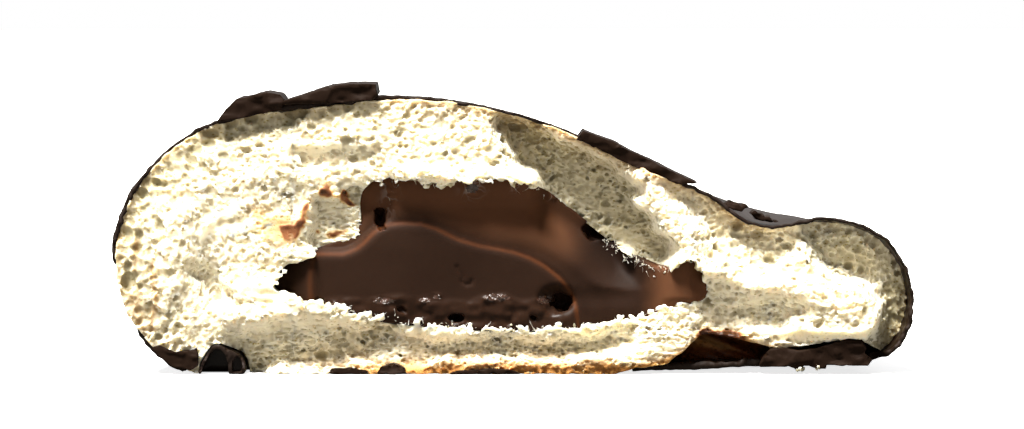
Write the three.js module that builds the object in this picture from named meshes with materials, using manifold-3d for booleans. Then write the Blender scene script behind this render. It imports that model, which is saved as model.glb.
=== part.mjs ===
// Half of a chocolate-coated bun filled with chocolate cream, torn across the middle.
// Millimetres, +Z up. The torn face looks along -Y and the bun's round end is at +Y.
import * as THREE from 'three';
import { mergeVertices } from 'three/addons/utils/BufferGeometryUtils.js';
import Module from 'manifold-3d';

const wasm = await Module();
wasm.setup();

// ---- driving dimensions ----

const bunDepth = 52.2;          // torn face to the round end
const bunCentre = [-8, 11];     // x, z of the line that the bun closes in on
const endFullness = 3;          // 2 is an elliptic end, larger is blunter
const lipFade = 0.34;           // share of the depth over which the dip and the lip soften
const coatThickness = 0.8;
const gap = 0.3;                // between neighbouring pieces
const coatHem = 0.3;            // height of the coat's lower edge over the table
const creamDepth = 33;
const creamCentre = [-1, 13.5];
const centring = [-0.15, -25.5]; // brings the middle of the object's box over the origin

const ringPoints = 62;          // round the bun
const ringCount = 15;           // torn face to round end
const ringCrowding = 0.9;       // under 1 spreads the rings out from the torn face
const [bunSoftening, creamSoftening] = [5, 3];   // averaging passes towards the round end
const creamRingPoints = 54;
const creamRingCount = 8;

// Outside of the coat where the bun is torn, as x, z. The fat fold is on the left, the flattened lip
// on the right. The lowest points lie under the table and are cut off, which leaves the flat base.
const bunOutline = [
  [-27, -2.5], [-36, -1.5], [-42.6, 1.0], [-46.6, 4.8], [-48.9, 9.8], [-49.9, 15.2],
  [-48.9, 20.4], [-46.0, 25.2], [-41.2, 29.6], [-34.5, 32.6], [-26.5, 34.0], [-18.0, 34.9],
  [-10.0, 34.7], [-2.0, 33.3], [5.5, 31.1], [12.3, 28.0], [18.5, 25.2], [24.5, 22.7],
  [28.8, 20.0], [33.0, 19.1], [38.5, 19.6], [43.4, 18.9], [47.4, 16.4], [49.7, 12.4],
  [50.1, 7.8], [48.8, 3.8], [45.0, 1.3], [37.5, 0.95], [29.0, 0.85], [20.5, 0.3],
  [12.0, -1.6], [2.0, -2.6], [-12, -3.0],
];

// Hollow between the bread and the sheet of chocolate under the lip.
const creaseOutline = [
  [14.4, -5], [15.6, 0.0], [18.4, 0.9], [21.2, 2.9], [23.4, 5.0], [25.2, 5.2], [29, 4.4],
  [33, 3.5], [38, 3.9], [42.5, 4.7], [45, 3.6], [46.8, 2.2], [48.4, -5],
];

// Edge of the filling on the torn face.
const creamOutline = [
  [-30, 11.2], [-28.4, 13.4], [-25.6, 15.0], [-21.5, 15.6], [-18.6, 17.4], [-18.8, 22.4],
  [-16.6, 24.4], [-13, 24.7], [-9, 23.9], [-5.3, 24.6], [-1, 24.6], [3, 23.6], [6.6, 20.9],
  [10.6, 17.6], [14.8, 14.6], [18.2, 13.1], [20.4, 13.7], [22.3, 15.0], [24.2, 12.0],
  [23.8, 9.4], [20, 8.3], [14, 6.4], [7.9, 5.6], [0, 5.4], [-8, 5.7], [-15.3, 6.6],
  [-21.5, 8.0], [-26.5, 9.2],
];

// Crest of the front fold of the filling: left of and below it the cream stands forward.
const creamCrest = [
  [-30, 13.5], [-25, 15.4], [-20.9, 15.4], [-18.2, 17.2], [-15.3, 19.0], [-10.9, 18.8],
  [-6.5, 16.6], [-1.5, 15.2], [2.3, 14.1], [5.4, 11.9], [7.3, 9.0], [8.6, 5.0],
];
const creamFront = 0.9;         // how far the front fold lies behind the torn face
const creamStep = 3.6;          // how much further back the rest lies
const crestWidth = 1.3;
const foldEnd = [6.6, 8.6];     // x over which the front fold ends on the right
const creamLump = [21.8, 11.6, 3.2, 3.4];   // x, z, half width, half height of the forward end

// Broad forms of the torn bread: x, z, half width, half height, depth into the bun.
const crumbForms = [
  [10.0, 24.0, 8.0, 6.5, 3.4],   // hollow under the overhanging top crust
  [-22.0, 19.5, 4.2, 4.4, 1.9],  // smooth pocket left of the filling
  [43.5, 11.5, 7.0, 7.5, 2.0],   // shaded end of the lip
  [-31.0, 4.6, 9.0, 4.2, 1.8],   // undercut at the lower left
  [-4.0, 2.6, 27.0, 2.6, 1.3],   // strip under the filling
  [-42.0, 17.0, 6.0, 9.0, -1.0], // fat left side comes forward
  [-14.0, 29.5, 16.0, 3.2, -0.9],
  [19.0, 18.5, 4.5, 4.5, -1.1],
  [33.0, 11.0, 9.0, 4.0, -1.2],
];
const crumbRipple = 0.35;        // small unevenness over the whole face
const ripplePitch = [0.9, 0.5, 0.7, -0.3];  // radians per millimetre along its two slants

// Where the coat's broken edge stands back from the torn face.
const coatBreaks = [
  [-49.0, 10.5, 3.5, 3.6, 2.6],  // bare patch on the fat side
  [-12.0, 35.0, 1.6, 2.0, 1.4],
  [6.8, 30.6, 1.3, 2.0, 1.2],
  [-40.5, 30.0, 1.2, 2.0, 0.8],
];

const breakWave = 0.16;         // waviness of a broken plate's far edge, as a share of its length
const breakPitch = 1.3;

// Plates of broken coat, each as its outline on the torn face and its length along +Y. Those that
// lie on the bun reach into it here and are cut to its surface.
const shardAtTopLeft = {
  outline: [
    [-36.9, 32.0], [-35.6, 33.6], [-34.4, 34.5], [-32.6, 34.9], [-30.6, 35.4], [-28.9, 35.1],
    [-28.3, 34.3], [-28.9, 33.0], [-34.4, 31.5],
  ],
  start: -0.9, length: 12, taper: 0.6,
};
const shardAtTop = {
  outline: [
    [-28.0, 34.0], [-25.6, 35.3], [-22.8, 36.1], [-20.2, 36.4], [-17.0, 36.4], [-16.8, 35.1],
    [-17.4, 34.0],
  ],
  start: -1.0, length: 14, taper: 0.6,
};
const shardOnSlope = {
  outline: [
    [8.3, 29.6], [8.9, 30.6], [10.6, 30.0], [12.4, 29.3], [14.8, 28.1], [17.4, 26.9],
    [19.8, 25.7], [22.4, 24.5], [20.5, 22.5], [9.0, 28.2],
  ],
  start: -0.6, length: 10, taper: 0.85,
};
const flakesInDip = [
  {
    outline: [[25.6, 22.4], [27.2, 23.0], [28.9, 22.2], [30.4, 20.6], [30.0, 18.6], [25.4, 20.4]],
    start: 0.4, length: 3.4, taper: 0.7,
  },
  {
    outline: [[31.0, 20.0], [32.3, 21.0], [33.9, 20.8], [35.6, 20.0], [35.0, 18.0], [31.4, 18.0]],
    start: 1.2, length: 3.4, taper: 0.7,
  },
];
const plateUnderLip = {
  outline: [
    [31.2, 1.0], [31.0, 2.4], [33.2, 3.0], [38.0, 3.4], [42.4, 4.2], [44.3, 3.3], [44.9, 2.0],
    [44.2, 1.4], [43.2, 1.9], [42.4, 1.1], [36.5, 1.0],
  ],
  start: -0.7, length: 9, taper: 0.85,
};
const chunkAtFoot = {
  outline: [
    [-45.1, 3.3], [-44.2, 3.5], [-42.4, 2.7], [-40.6, 2.9], [-39.4, 3.3], [-39.2, 1.1],
    [-40.2, 0.5], [-42.4, 0.9], [-44.0, 2.1],
  ],
  start: -0.6, length: 5, taper: 0.9,
};
const curlAtFoot = {
  outline: [
    [-38.9, 0.4], [-38.7, 2.2], [-37.6, 3.4], [-35.8, 3.4], [-34.8, 2.4], [-34.4, 0.4],
    [-35.2, 0.4], [-35.5, 2.0], [-36.2, 2.7], [-37.3, 2.6], [-38.0, 1.8], [-38.2, 0.4],
  ],
  start: -0.5, length: 7, taper: 0.95,
};
// Room cut out of the bun for the pieces at its foot, and out of the coat for the plate.
const footNotch = {
  outline: [
    [-46.6, -3], [-46.4, 4.0], [-42.4, 3.3], [-38.6, 4.0], [-35.0, 4.0], [-33.7, 2.6], [-33.6, -3],
  ],
  start: -6, length: 15, taper: 1,
};
const lipNotch = {
  outline: [
    [30.3, -1], [30.3, 2.8], [33.0, 3.5], [38.0, 3.9], [42.4, 4.7], [45.0, 3.9], [45.6, 2.2],
    [45.6, -1],
  ],
  start: -6, length: 18, taper: 1,
};

// ---- curves ----

function closedCurve(outline) {
  const points = outline.map(([x, z]) => new THREE.Vector3(x, 0, z));
  return new THREE.CatmullRomCurve3(points, true, 'catmullrom', 0.5);
}

function ringOf(outline, count) {
  return closedCurve(outline).getSpacedPoints(count).slice(0, count);
}

// The same ring with its dips and corners softened by averaging neighbours.
function softened(ring, passes) {
  let soft = ring.map((point) => point.clone());
  for (let pass = 0; pass < passes; pass += 1) {
    soft = soft.map((point, i) => {
      const before = soft[(i + soft.length - 1) % soft.length];
      const after = soft[(i + 1) % soft.length];
      return point.clone().multiplyScalar(2).add(before).add(after).multiplyScalar(0.25);
    });
  }
  return soft;
}

function heightOn(line, x) {
  const last = line.length - 1;
  if (x <= line[0][0]) {
    return line[0][1];
  }
  for (let i = 0; i < last; i += 1) {
    const [x0, z0] = line[i];
    const [x1, z1] = line[i + 1];
    if (x <= x1) {
      return z0 + ((z1 - z0) * (x - x0)) / (x1 - x0);
    }
  }
  return line[last][1];
}

function smoothStep(low, high, value) {
  const t = Math.min(Math.max((value - low) / (high - low), 0), 1);
  return t * t * (3 - 2 * t);
}

function sumOfForms(forms, x, z) {
  let depth = 0;
  for (const [cx, cz, halfWidth, halfHeight, amount] of forms) {
    const u = (x - cx) / halfWidth;
    const v = (z - cz) / halfHeight;
    depth += amount * Math.exp(-(u * u + v * v));
  }
  return depth;
}

// ---- solids ----

function toSolid(geometry) {
  const bare = geometry.clone();
  for (const name of ['normal', 'uv']) {
    bare.deleteAttribute(name);
  }
  const merged = mergeVertices(bare, 1e-4);
  return new wasm.Manifold(new wasm.Mesh({
    numProp: 3,
    vertProperties: Float32Array.from(merged.attributes.position.array),
    triVerts: Uint32Array.from(merged.index.array),
  }));
}

function toMesh(name, solid, color, roughness) {
  const pieces = solid.decompose();
  const largest = pieces.reduce((a, b) => (b.volume() > a.volume() ? b : a));
  const { vertProperties, triVerts } = largest.getMesh();
  const geometry = new THREE.BufferGeometry();
  geometry.setAttribute('position', new THREE.BufferAttribute(vertProperties, 3));
  geometry.setIndex(new THREE.BufferAttribute(triVerts, 1));
  geometry.computeVertexNormals();
  const material = new THREE.MeshStandardMaterial({ color, roughness, metalness: 0 });
  const mesh = new THREE.Mesh(geometry, material);
  mesh.name = name;
  return mesh;
}

function block(x0, x1, y0, y1, z0, z1) {
  const box = new THREE.BoxGeometry(x1 - x0, y1 - y0, z1 - z0);
  box.translate((x0 + x1) / 2, (y0 + y1) / 2, (z0 + z1) / 2);
  return toSolid(box);
}

// A loaf-like solid: rings of the outline shrink on a superellipse towards a centre line, and the
// whole surface is moved in by an inset. The first ring is carried straight on to frontY.
function loaf({ outline, points, rings, depth, centre, inset, frontY, softenBy }) {
  const sharp = ringOf(outline, points);
  const soft = softened(sharp, softenBy);
  const at = (i, share) => {
    const scale = Math.cbrt(Math.max(1 - share ** endFullness, 0));
    const fade = smoothStep(0, lipFade, share);
    const x = THREE.MathUtils.lerp(sharp[i].x, soft[i].x, fade);
    const z = THREE.MathUtils.lerp(sharp[i].z, soft[i].z, fade);
    return [centre[0] + (x - centre[0]) * scale, share * depth, centre[1] + (z - centre[1]) * scale];
  };

  const positions = [];
  for (let i = 0; i < points; i += 1) {
    const [x, , z] = at(i, 0);
    positions.push(x, frontY, z);
  }
  for (let ring = 0; ring < rings; ring += 1) {
    const share = Math.sin((ring / rings) * (Math.PI / 2)) ** ringCrowding;
    for (let i = 0; i < points; i += 1) {
      positions.push(...at(i, share));
    }
  }
  const endPole = positions.length / 3;
  positions.push(centre[0], depth, centre[1]);

  const indices = [];
  for (let ring = 0; ring < rings; ring += 1) {
    for (let i = 0; i < points; i += 1) {
      const next = (i + 1) % points;
      const [a, b] = [ring * points + i, ring * points + next];
      const [c, d] = [a + points, b + points];
      indices.push(a, b, d, a, d, c);
    }
  }
  for (let i = 0; i < points; i += 1) {
    indices.push(rings * points + i, rings * points + ((i + 1) % points), endPole);
  }

  const skin = new THREE.BufferGeometry();
  skin.setAttribute('position', new THREE.Float32BufferAttribute(positions, 3));
  skin.setIndex(indices);
  skin.computeVertexNormals();
  const place = skin.attributes.position;
  const normal = skin.attributes.normal;
  for (let i = 0; i < place.count; i += 1) {
    const sideways = i < points ? 0 : 1;
    place.setXYZ(
      i,
      place.getX(i) - inset * normal.getX(i),
      place.getY(i) - inset * normal.getY(i) * sideways,
      place.getZ(i) - inset * normal.getZ(i),
    );
  }

  const closed = Array.from(place.array);
  const frontPole = closed.length / 3;
  closed.push(centre[0], frontY, centre[1]);
  for (let i = 0; i < points; i += 1) {
    indices.push(i, frontPole, (i + 1) % points);
  }
  const geometry = new THREE.BufferGeometry();
  geometry.setAttribute('position', new THREE.Float32BufferAttribute(closed, 3));
  geometry.setIndex(indices);
  return toSolid(geometry);
}

function bunShape(inset, frontY) {
  return loaf({
    outline: bunOutline, points: ringPoints, rings: ringCount, depth: bunDepth,
    centre: bunCentre, inset, frontY, softenBy: bunSoftening,
  });
}

function creamShape(inset, frontY) {
  return loaf({
    outline: creamOutline, points: creamRingPoints, rings: creamRingCount, depth: creamDepth,
    centre: creamCentre, inset, frontY, softenBy: creamSoftening,
  });
}

// Everything in front of a relief y = depthAt(x, z), as a block with one sculpted side.
function inFrontOf(depthAt, columns, rows) {
  const [width, height, thick] = [112, 46, 30];
  const box = new THREE.BoxGeometry(width, thick, height, columns, 1, rows);
  box.translate(0, -thick / 2, height / 2 - 5);
  const place = box.attributes.position;
  for (let i = 0; i < place.count; i += 1) {
    if (place.getY(i) > -thick / 2) {
      place.setY(i, depthAt(place.getX(i), place.getZ(i)));
    }
  }
  return toSolid(box);
}

// A plate drawn on the torn face and run back along +Y, narrowing to taper, with a wavy far edge.
function plate({ outline, start, length, taper }) {
  const middle = outline.reduce((sum, [x]) => sum + x, 0) / outline.length;
  const face = new THREE.Shape(outline.map(([x, z]) => new THREE.Vector2(x, z)));
  const geometry = new THREE.ExtrudeGeometry(face, { depth: length, steps: 3, bevelEnabled: false });
  geometry.rotateX(Math.PI / 2);
  geometry.translate(0, start + length, 0);
  const place = geometry.attributes.position;
  for (let i = 0; i < place.count; i += 1) {
    const share = (place.getY(i) - start) / length;
    const [x, y] = [place.getX(i), place.getY(i)];
    place.setX(i, middle + (x - middle) * THREE.MathUtils.lerp(1, taper, share ** 2));
    place.setY(i, y + breakWave * length * share * Math.sin(breakPitch * x));
  }
  return toSolid(geometry);
}

// ---- pieces ----

function crumbRelief(x, z) {
  const [alongX, alongZ, acrossZ, acrossX] = ripplePitch;
  const waves = Math.sin(alongX * x + alongZ * z) * Math.cos(acrossZ * z + acrossX * x);
  return sumOfForms(crumbForms, x, z) + crumbRipple * waves;
}

function creamRelief(x, z) {
  const behind = smoothStep(-crestWidth, crestWidth, z - heightOn(creamCrest, x));
  const further = Math.max(behind, smoothStep(foldEnd[0], foldEnd[1], x));
  const [lumpX, lumpZ, halfWidth, halfHeight] = creamLump;
  const lump = Math.exp(-(((x - lumpX) / halfWidth) ** 2) - ((z - lumpZ) / halfHeight) ** 2);
  return creamFront + creamStep * further - (creamFront + creamStep) * lump;
}

function coatRelief(x, z) {
  return sumOfForms(coatBreaks, x, z);
}

// Each shape starts somewhat further forward than what is cut from it, so every cut is clean.
const [behindFront, front, beforeFront, wellBeforeFront] = [-4, -6, -8, -12];
const aroundBun = bunShape(-gap, wellBeforeFront);

const cream = creamShape(0, behindFront).subtract(inFrontOf(creamRelief, 56, 23));

const crease = loaf({
  outline: creaseOutline, points: 30, rings: 8, depth: bunDepth, centre: bunCentre,
  inset: 0, frontY: front, softenBy: 1,
});

const bread = bunShape(coatThickness + gap, behindFront)
  .subtract(inFrontOf(crumbRelief, 46, 19))
  .intersect(block(-60, 60, -5, 60, 0, 45))
  .subtract(creamShape(-gap, front))
  .subtract(crease)
  .subtract(plate(footNotch));

const coat = bunShape(0, behindFront)
  .subtract(bunShape(coatThickness, beforeFront))
  .subtract(inFrontOf(coatRelief, 80, 30))
  .intersect(block(-60, 60, -5, 60, coatHem, 45))
  .subtract(plate(lipNotch))
  .subtract(plate(footNotch));

const chocolate = 0x2e2218;
const group = new THREE.Group();
group.add(toMesh('bread', bread, 0xf1ead0, 0.95));
group.add(toMesh('cream_filling', cream, 0x3c2a20, 0.35));
group.add(toMesh('chocolate_coating', coat, chocolate, 0.45));
group.add(toMesh('shard_top_left', plate(shardAtTopLeft).subtract(aroundBun), chocolate, 0.5));
group.add(toMesh('shard_top_middle', plate(shardAtTop).subtract(aroundBun), chocolate, 0.5));
group.add(toMesh('shard_on_slope', plate(shardOnSlope).subtract(aroundBun), chocolate, 0.5));
flakesInDip.forEach((flake, i) => {
  group.add(toMesh(`flake_in_dip_${i + 1}`, plate(flake).subtract(aroundBun), chocolate, 0.5));
});
group.add(toMesh('plate_under_lip', plate(plateUnderLip), chocolate, 0.45));
group.add(toMesh('chunk_at_foot', plate(chunkAtFoot), chocolate, 0.45));
group.add(toMesh('curl_at_foot', plate(curlAtFoot), chocolate, 0.35));
group.position.set(centring[0], centring[1], 0);

export default group;
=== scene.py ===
# Half of a chocolate-coated cream bun, torn across the middle, lying on a pale table.
# Lengths are millimetres until a mesh is made. x runs along the torn face, y into the bun, z up.
import math

import bpy
import numpy as np
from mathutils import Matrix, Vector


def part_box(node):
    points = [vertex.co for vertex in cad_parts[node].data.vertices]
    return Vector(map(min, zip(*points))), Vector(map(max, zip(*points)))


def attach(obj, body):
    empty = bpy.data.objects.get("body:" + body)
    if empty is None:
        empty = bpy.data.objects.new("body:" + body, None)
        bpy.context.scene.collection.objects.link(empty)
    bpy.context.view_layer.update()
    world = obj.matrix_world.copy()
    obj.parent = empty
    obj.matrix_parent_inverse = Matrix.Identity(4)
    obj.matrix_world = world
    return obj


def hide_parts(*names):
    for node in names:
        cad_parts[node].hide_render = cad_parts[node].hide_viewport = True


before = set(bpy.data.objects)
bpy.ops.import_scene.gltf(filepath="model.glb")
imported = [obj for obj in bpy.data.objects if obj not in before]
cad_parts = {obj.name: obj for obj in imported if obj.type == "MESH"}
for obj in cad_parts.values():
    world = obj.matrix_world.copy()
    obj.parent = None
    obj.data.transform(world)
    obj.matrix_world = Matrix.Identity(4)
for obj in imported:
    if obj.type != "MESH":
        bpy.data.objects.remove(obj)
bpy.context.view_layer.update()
metre = 0.001

# The bun's own outside where it is torn: fat fold on the left, thin lip on the right.
bun = {
    "depth": 52.2,          # torn face to round end
    "centre": (-8.0, 11.0),
    "fullness": 3.0,        # bluntness of the round end
    "lipFade": 0.34,
    "softening": 6.1,       # how far the dip and lip are smoothed towards the round end
    "outline": [
        (-27, -2.5), (-36, -1.5), (-42.6, 1.0), (-46.6, 4.8), (-48.9, 9.8), (-49.9, 15.2),
        (-48.9, 20.4), (-46.0, 25.2), (-41.2, 29.6), (-34.5, 32.6), (-26.5, 34.0), (-18.0, 34.9),
        (-10.0, 34.7), (-2.0, 33.3), (5.5, 31.1), (12.3, 28.0), (18.5, 25.2), (24.5, 22.7),
        (28.6, 19.8), (32.4, 18.6), (38.5, 19.6), (43.4, 18.9), (47.4, 16.4), (49.7, 12.4),
        (50.1, 7.8), (48.8, 3.8), (45.0, 1.3), (37.5, 0.95), (29.0, 0.85), (20.5, 0.5),
        (15.6, 0.32), (10.0, -1.4), (2.0, -2.6), (-12, -3.0),
    ],
}


def closedCurve(points, count):
    # A smooth closed curve through the points, as evenly spaced points.
    p = np.array(points, float)
    before, here, after, beyond = (np.roll(p, -k, axis=0)[:, None] for k in (-1, 0, 1, 2))
    t = np.linspace(0, 1, 40, endpoint=False)[None, :, None]
    dense = 0.5 * (
        2 * here
        + (after - before) * t
        + (2 * before - 5 * here + 4 * after - beyond) * t**2
        + (3 * here - before - 3 * after + beyond) * t**3
    )
    dense = dense.reshape(-1, p.shape[1])
    dense = np.vstack([dense, dense[:1]])
    run = np.concatenate([[0], np.cumsum(np.linalg.norm(np.diff(dense, axis=0), axis=1))])
    marks = np.linspace(0, run[-1], count, endpoint=False)
    return np.stack([np.interp(marks, run, dense[:, k]) for k in range(p.shape[1])], axis=1)


def smoothedRing(ring, reach):
    # The ring with detail finer than reach averaged out.
    step = np.linalg.norm(np.roll(ring, -1, axis=0) - ring, axis=1).mean()
    waves = np.fft.rfft(ring, axis=0)
    k = np.arange(len(waves))[:, None]
    waves *= np.exp(-2 * (math.pi * k * reach / step / len(ring)) ** 2)
    return np.fft.irfft(waves, len(ring), axis=0)


def smoothStep(low, high, value):
    t = np.clip((value - low) / (high - low), 0, 1)
    return t * t * (3 - 2 * t)


class Shrinking:
    # A loaf: rings of one outline that close in on a centre line towards the back.
    def __init__(self, outline, count, depth, centre, softening):
        self.sharp = closedCurve(outline, count)
        self.soft = smoothedRing(self.sharp, softening)
        self.depth = depth
        self.centre = np.array(centre)

    def ring(self, share):
        scale = max(1 - share ** bun["fullness"], 0) ** (1 / bun["fullness"])
        fade = smoothStep(0, bun["lipFade"], share)
        mixed = self.sharp + (self.soft - self.sharp) * fade
        return self.centre + (mixed - self.centre) * scale


bunLoaf = Shrinking(bun["outline"], 480, bun["depth"], bun["centre"], bun["softening"])
coatLow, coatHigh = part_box("chocolate_coating")
shift = np.array([
    (coatLow[0] + coatHigh[0]) / 2 / metre - (bunLoaf.sharp[:, 0].min() + bunLoaf.sharp[:, 0].max()) / 2,
    coatHigh[1] / metre - bun["depth"],
    0.0,
])

randomLattice = np.random.default_rng(7).random((48, 48, 48)).astype(np.float32) * 2 - 1


def noiseAt(points, size, seed=0):
    # Smooth noise from -1 to 1 whose lumps are about size across.
    p = np.asarray(points, np.float32) / np.asarray(size, np.float32) + np.float32(seed * 7.31)
    cell = np.floor(p).astype(np.int32)
    f = p - cell
    f = f * f * (3 - 2 * f)
    total = 0
    for corner in range(8):
        dx, dy, dz = corner & 1, corner >> 1 & 1, corner >> 2
        x, y, z = ((cell[..., k] + d) % 48 for k, d in enumerate((dx, dy, dz)))
        weight = (
            (f[..., 0] if dx else 1 - f[..., 0])
            * (f[..., 1] if dy else 1 - f[..., 1])
            * (f[..., 2] if dz else 1 - f[..., 2])
        )
        total = total + weight * randomLattice[x, y, z]
    return total


# Flat maps over the torn face.

mapStep = 0.4
mapX = np.arange(-54, 54 + mapStep, mapStep)
mapZ = np.arange(-6, 40 + mapStep, mapStep)
mapGrid = np.stack(np.meshgrid(mapX, mapZ, indexing="ij"), axis=-1)


def distanceMap(ring, grid=(mapX, mapZ)):
    # Distance to a closed outline at every map point, positive inside.
    px, pz = np.meshgrid(grid[0], grid[1], indexing="ij")
    nearest = np.full(px.shape, 1e9)
    inside = np.zeros(px.shape, bool)
    for (ax, az), (bx, bz) in zip(ring, np.roll(ring, -1, axis=0)):
        ex, ez = bx - ax, bz - az
        t = np.clip(((px - ax) * ex + (pz - az) * ez) / (ex * ex + ez * ez + 1e-12), 0, 1)
        nearest = np.minimum(nearest, (px - ax - t * ex) ** 2 + (pz - az - t * ez) ** 2)
        crossing = (az > pz) != (bz > pz)
        if crossing.any() and abs(ez) > 1e-12:
            inside ^= crossing & (px < ax + (pz - az) / ez * ex)
    return np.where(inside, 1, -1) * np.sqrt(nearest)


def sample(flatMap, x, z, grid=(mapX, mapZ)):
    # Bilinear reading of a flat map.
    u = np.clip((x - grid[0][0]) / (grid[0][1] - grid[0][0]), 0, len(grid[0]) - 1.001)
    v = np.clip((z - grid[1][0]) / (grid[1][1] - grid[1][0]), 0, len(grid[1]) - 1.001)
    i, j = u.astype(int), v.astype(int)
    u, v = u - i, v - j
    return (
        flatMap[i, j] * (1 - u) * (1 - v)
        + flatMap[i + 1, j] * u * (1 - v)
        + flatMap[i, j + 1] * (1 - u) * v
        + flatMap[i + 1, j + 1] * u * v
    )


def spreadMap(marks):
    # A map that takes each mark's value near the mark: marks are x, z, value.
    total, weights = 0, 0
    for x, z, value in marks:
        away = (mapGrid[..., 0] - x) ** 2 + (mapGrid[..., 1] - z) ** 2
        weight = 1 / (away + 0.3) ** 2
        total = total + weight * value
        weights = weights + weight
    return total / weights


# Meshes.


def surfaceNet(field, xs, ys, zs):
    # The skin between the positive and negative side of a field on a grid, as vertices and quads.
    inside = field > 0
    count = np.zeros(tuple(n - 1 for n in field.shape), np.uint8)
    corners = [(i, j, k) for i in (0, 1) for j in (0, 1) for k in (0, 1)]
    for i, j, k in corners:
        count += inside[i:field.shape[0] - 1 + i, j:field.shape[1] - 1 + j, k:field.shape[2] - 1 + k]
    active = (count > 0) & (count < 8)
    cells = np.argwhere(active)
    number = np.full(active.shape, -1, np.int32)
    number[active] = np.arange(len(cells), dtype=np.int32)
    axes = (xs, ys, zs)
    total = np.zeros((len(cells), 3))
    hits = np.zeros(len(cells))
    for axis in range(3):
        for a in corners:
            if a[axis]:
                continue
            b = tuple(a[k] + (k == axis) for k in range(3))
            ia = tuple(cells[:, k] + a[k] for k in range(3))
            ib = tuple(cells[:, k] + b[k] for k in range(3))
            va, vb = field[ia], field[ib]
            cross = (va > 0) != (vb > 0)
            t = np.where(cross, va / np.where(cross, va - vb, 1), 0)
            for k in range(3):
                pa, pb = axes[k][ia[k]], axes[k][ib[k]]
                total[:, k] += np.where(cross, pa + (pb - pa) * t, 0)
            hits += cross
    vertices = total / hits[:, None]
    quads = []
    for axis in range(3):
        u, v = [k for k in range(3) if k != axis]
        low = [slice(None)] * 3
        high = [slice(None)] * 3
        low[axis], high[axis] = slice(0, -1), slice(1, None)
        flips = inside[tuple(low)] != inside[tuple(high)]
        for k in (u, v):
            edge = [slice(None)] * 3
            edge[k] = slice(0, 1)
            flips[tuple(edge)] = False
            edge[k] = slice(flips.shape[k] - 1, None)
            flips[tuple(edge)] = False
        at = np.argwhere(flips)
        ring = []
        for du, dv in ((0, 0), (1, 0), (1, 1), (0, 1)):
            cell = at.copy()
            cell[:, u] -= du
            cell[:, v] -= dv
            ring.append(number[cell[:, 0], cell[:, 1], cell[:, 2]])
        quad = np.stack(ring, axis=1)
        outward = inside[tuple(low)][flips]
        turned = outward if axis != 1 else ~outward
        quad[turned] = quad[turned][:, ::-1]
        quads.append(quad)
    return vertices, np.vstack(quads)


def dropScraps(vertices, faces, keepOver):
    # Leaves out loose scraps with keepOver vertices or fewer.
    label = np.arange(len(vertices))
    edges = np.vstack([faces[:, [k, (k + 1) % faces.shape[1]]] for k in range(faces.shape[1])])
    while True:
        low = np.minimum(label[edges[:, 0]], label[edges[:, 1]])
        fresh = label.copy()
        np.minimum.at(fresh, edges[:, 0], low)
        np.minimum.at(fresh, edges[:, 1], low)
        fresh = fresh[fresh]
        if (fresh == label).all():
            break
        label = fresh
    sizes = np.bincount(label, minlength=len(vertices))
    keep = sizes[label] > keepOver
    renumber = np.cumsum(keep) - 1
    return vertices[keep], renumber[faces[keep[faces[:, 0]]]]


def makeMesh(name, vertices, faces):
    # A Blender object from millimetre vertices and faces that all have the same number of corners.
    mesh = bpy.data.meshes.new(name)
    corners = faces.shape[1]
    mesh.vertices.add(len(vertices))
    mesh.vertices.foreach_set("co", ((vertices + shift) * metre).astype(np.float32).ravel())
    mesh.loops.add(faces.size)
    mesh.loops.foreach_set("vertex_index", faces.astype(np.int32).ravel())
    mesh.polygons.add(len(faces))
    mesh.polygons.foreach_set("loop_start", np.arange(0, faces.size, corners, dtype=np.int32))
    mesh.polygons.foreach_set("use_smooth", np.ones(len(faces), bool))
    mesh.update(calc_edges=True)
    mesh.validate()
    thing = bpy.data.objects.new(name, mesh)
    bpy.context.scene.collection.objects.link(thing)
    return thing


def applyModifiers(thing):
    shown = thing.evaluated_get(bpy.context.evaluated_depsgraph_get())
    mesh = bpy.data.meshes.new_from_object(shown)
    thing.modifiers.clear()
    old = thing.data
    thing.data = mesh
    bpy.data.meshes.remove(old)


def thinOut(thing, most):
    # Merges the least needed faces until at most this many triangles are left.
    triangles = sum(len(p.vertices) - 2 for p in thing.data.polygons)
    if triangles > most:
        fewer = thing.modifiers.new("fewer", "DECIMATE")
        fewer.ratio = most / triangles
        applyModifiers(thing)
    thing.data.polygons.foreach_set("use_smooth", np.ones(len(thing.data.polygons), bool))


def points(thing):
    # A thing's vertices in millimetres of the bun's own frame.
    flat = np.empty(len(thing.data.vertices) * 3, np.float32)
    thing.data.vertices.foreach_get("co", flat)
    return flat.reshape(-1, 3) / metre - shift


def paint(thing, name, values):
    attribute = thing.data.attributes.new(name, "FLOAT", "POINT")
    attribute.data.foreach_set("value", np.asarray(values, np.float32).ravel())


def finishPiece(thing, slot, material, *nodes):
    thing.data.materials.clear()
    thing.data.materials.append(material)
    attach(thing, "root")
    if nodes:
        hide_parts(*nodes)


# Materials.


def colour(hexText, alpha=1.0):
    # An sRGB hex colour as the linear values that a shader takes.
    parts = [int(hexText[k:k + 2], 16) / 255 for k in (1, 3, 5)]
    return tuple(c / 12.92 if c <= 0.04045 else ((c + 0.055) / 1.055) ** 2.4 for c in parts) + (alpha,)


def addNode(material, kind, settings=None, inputs=None):
    # One node, with its settings, its fixed inputs and its links.
    tree = material.node_tree
    node = tree.nodes.new(kind)
    for key, value in (settings or {}).items():
        setattr(node, key, value)
    for key, value in (inputs or {}).items():
        if isinstance(value, bpy.types.NodeSocket):
            tree.links.new(value, node.inputs[key])
        else:
            node.inputs[key].default_value = value
    return node


def newMaterial(name):
    material = bpy.data.materials.new(name)
    material.use_nodes = True
    material.node_tree.nodes.clear()
    return material


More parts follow.
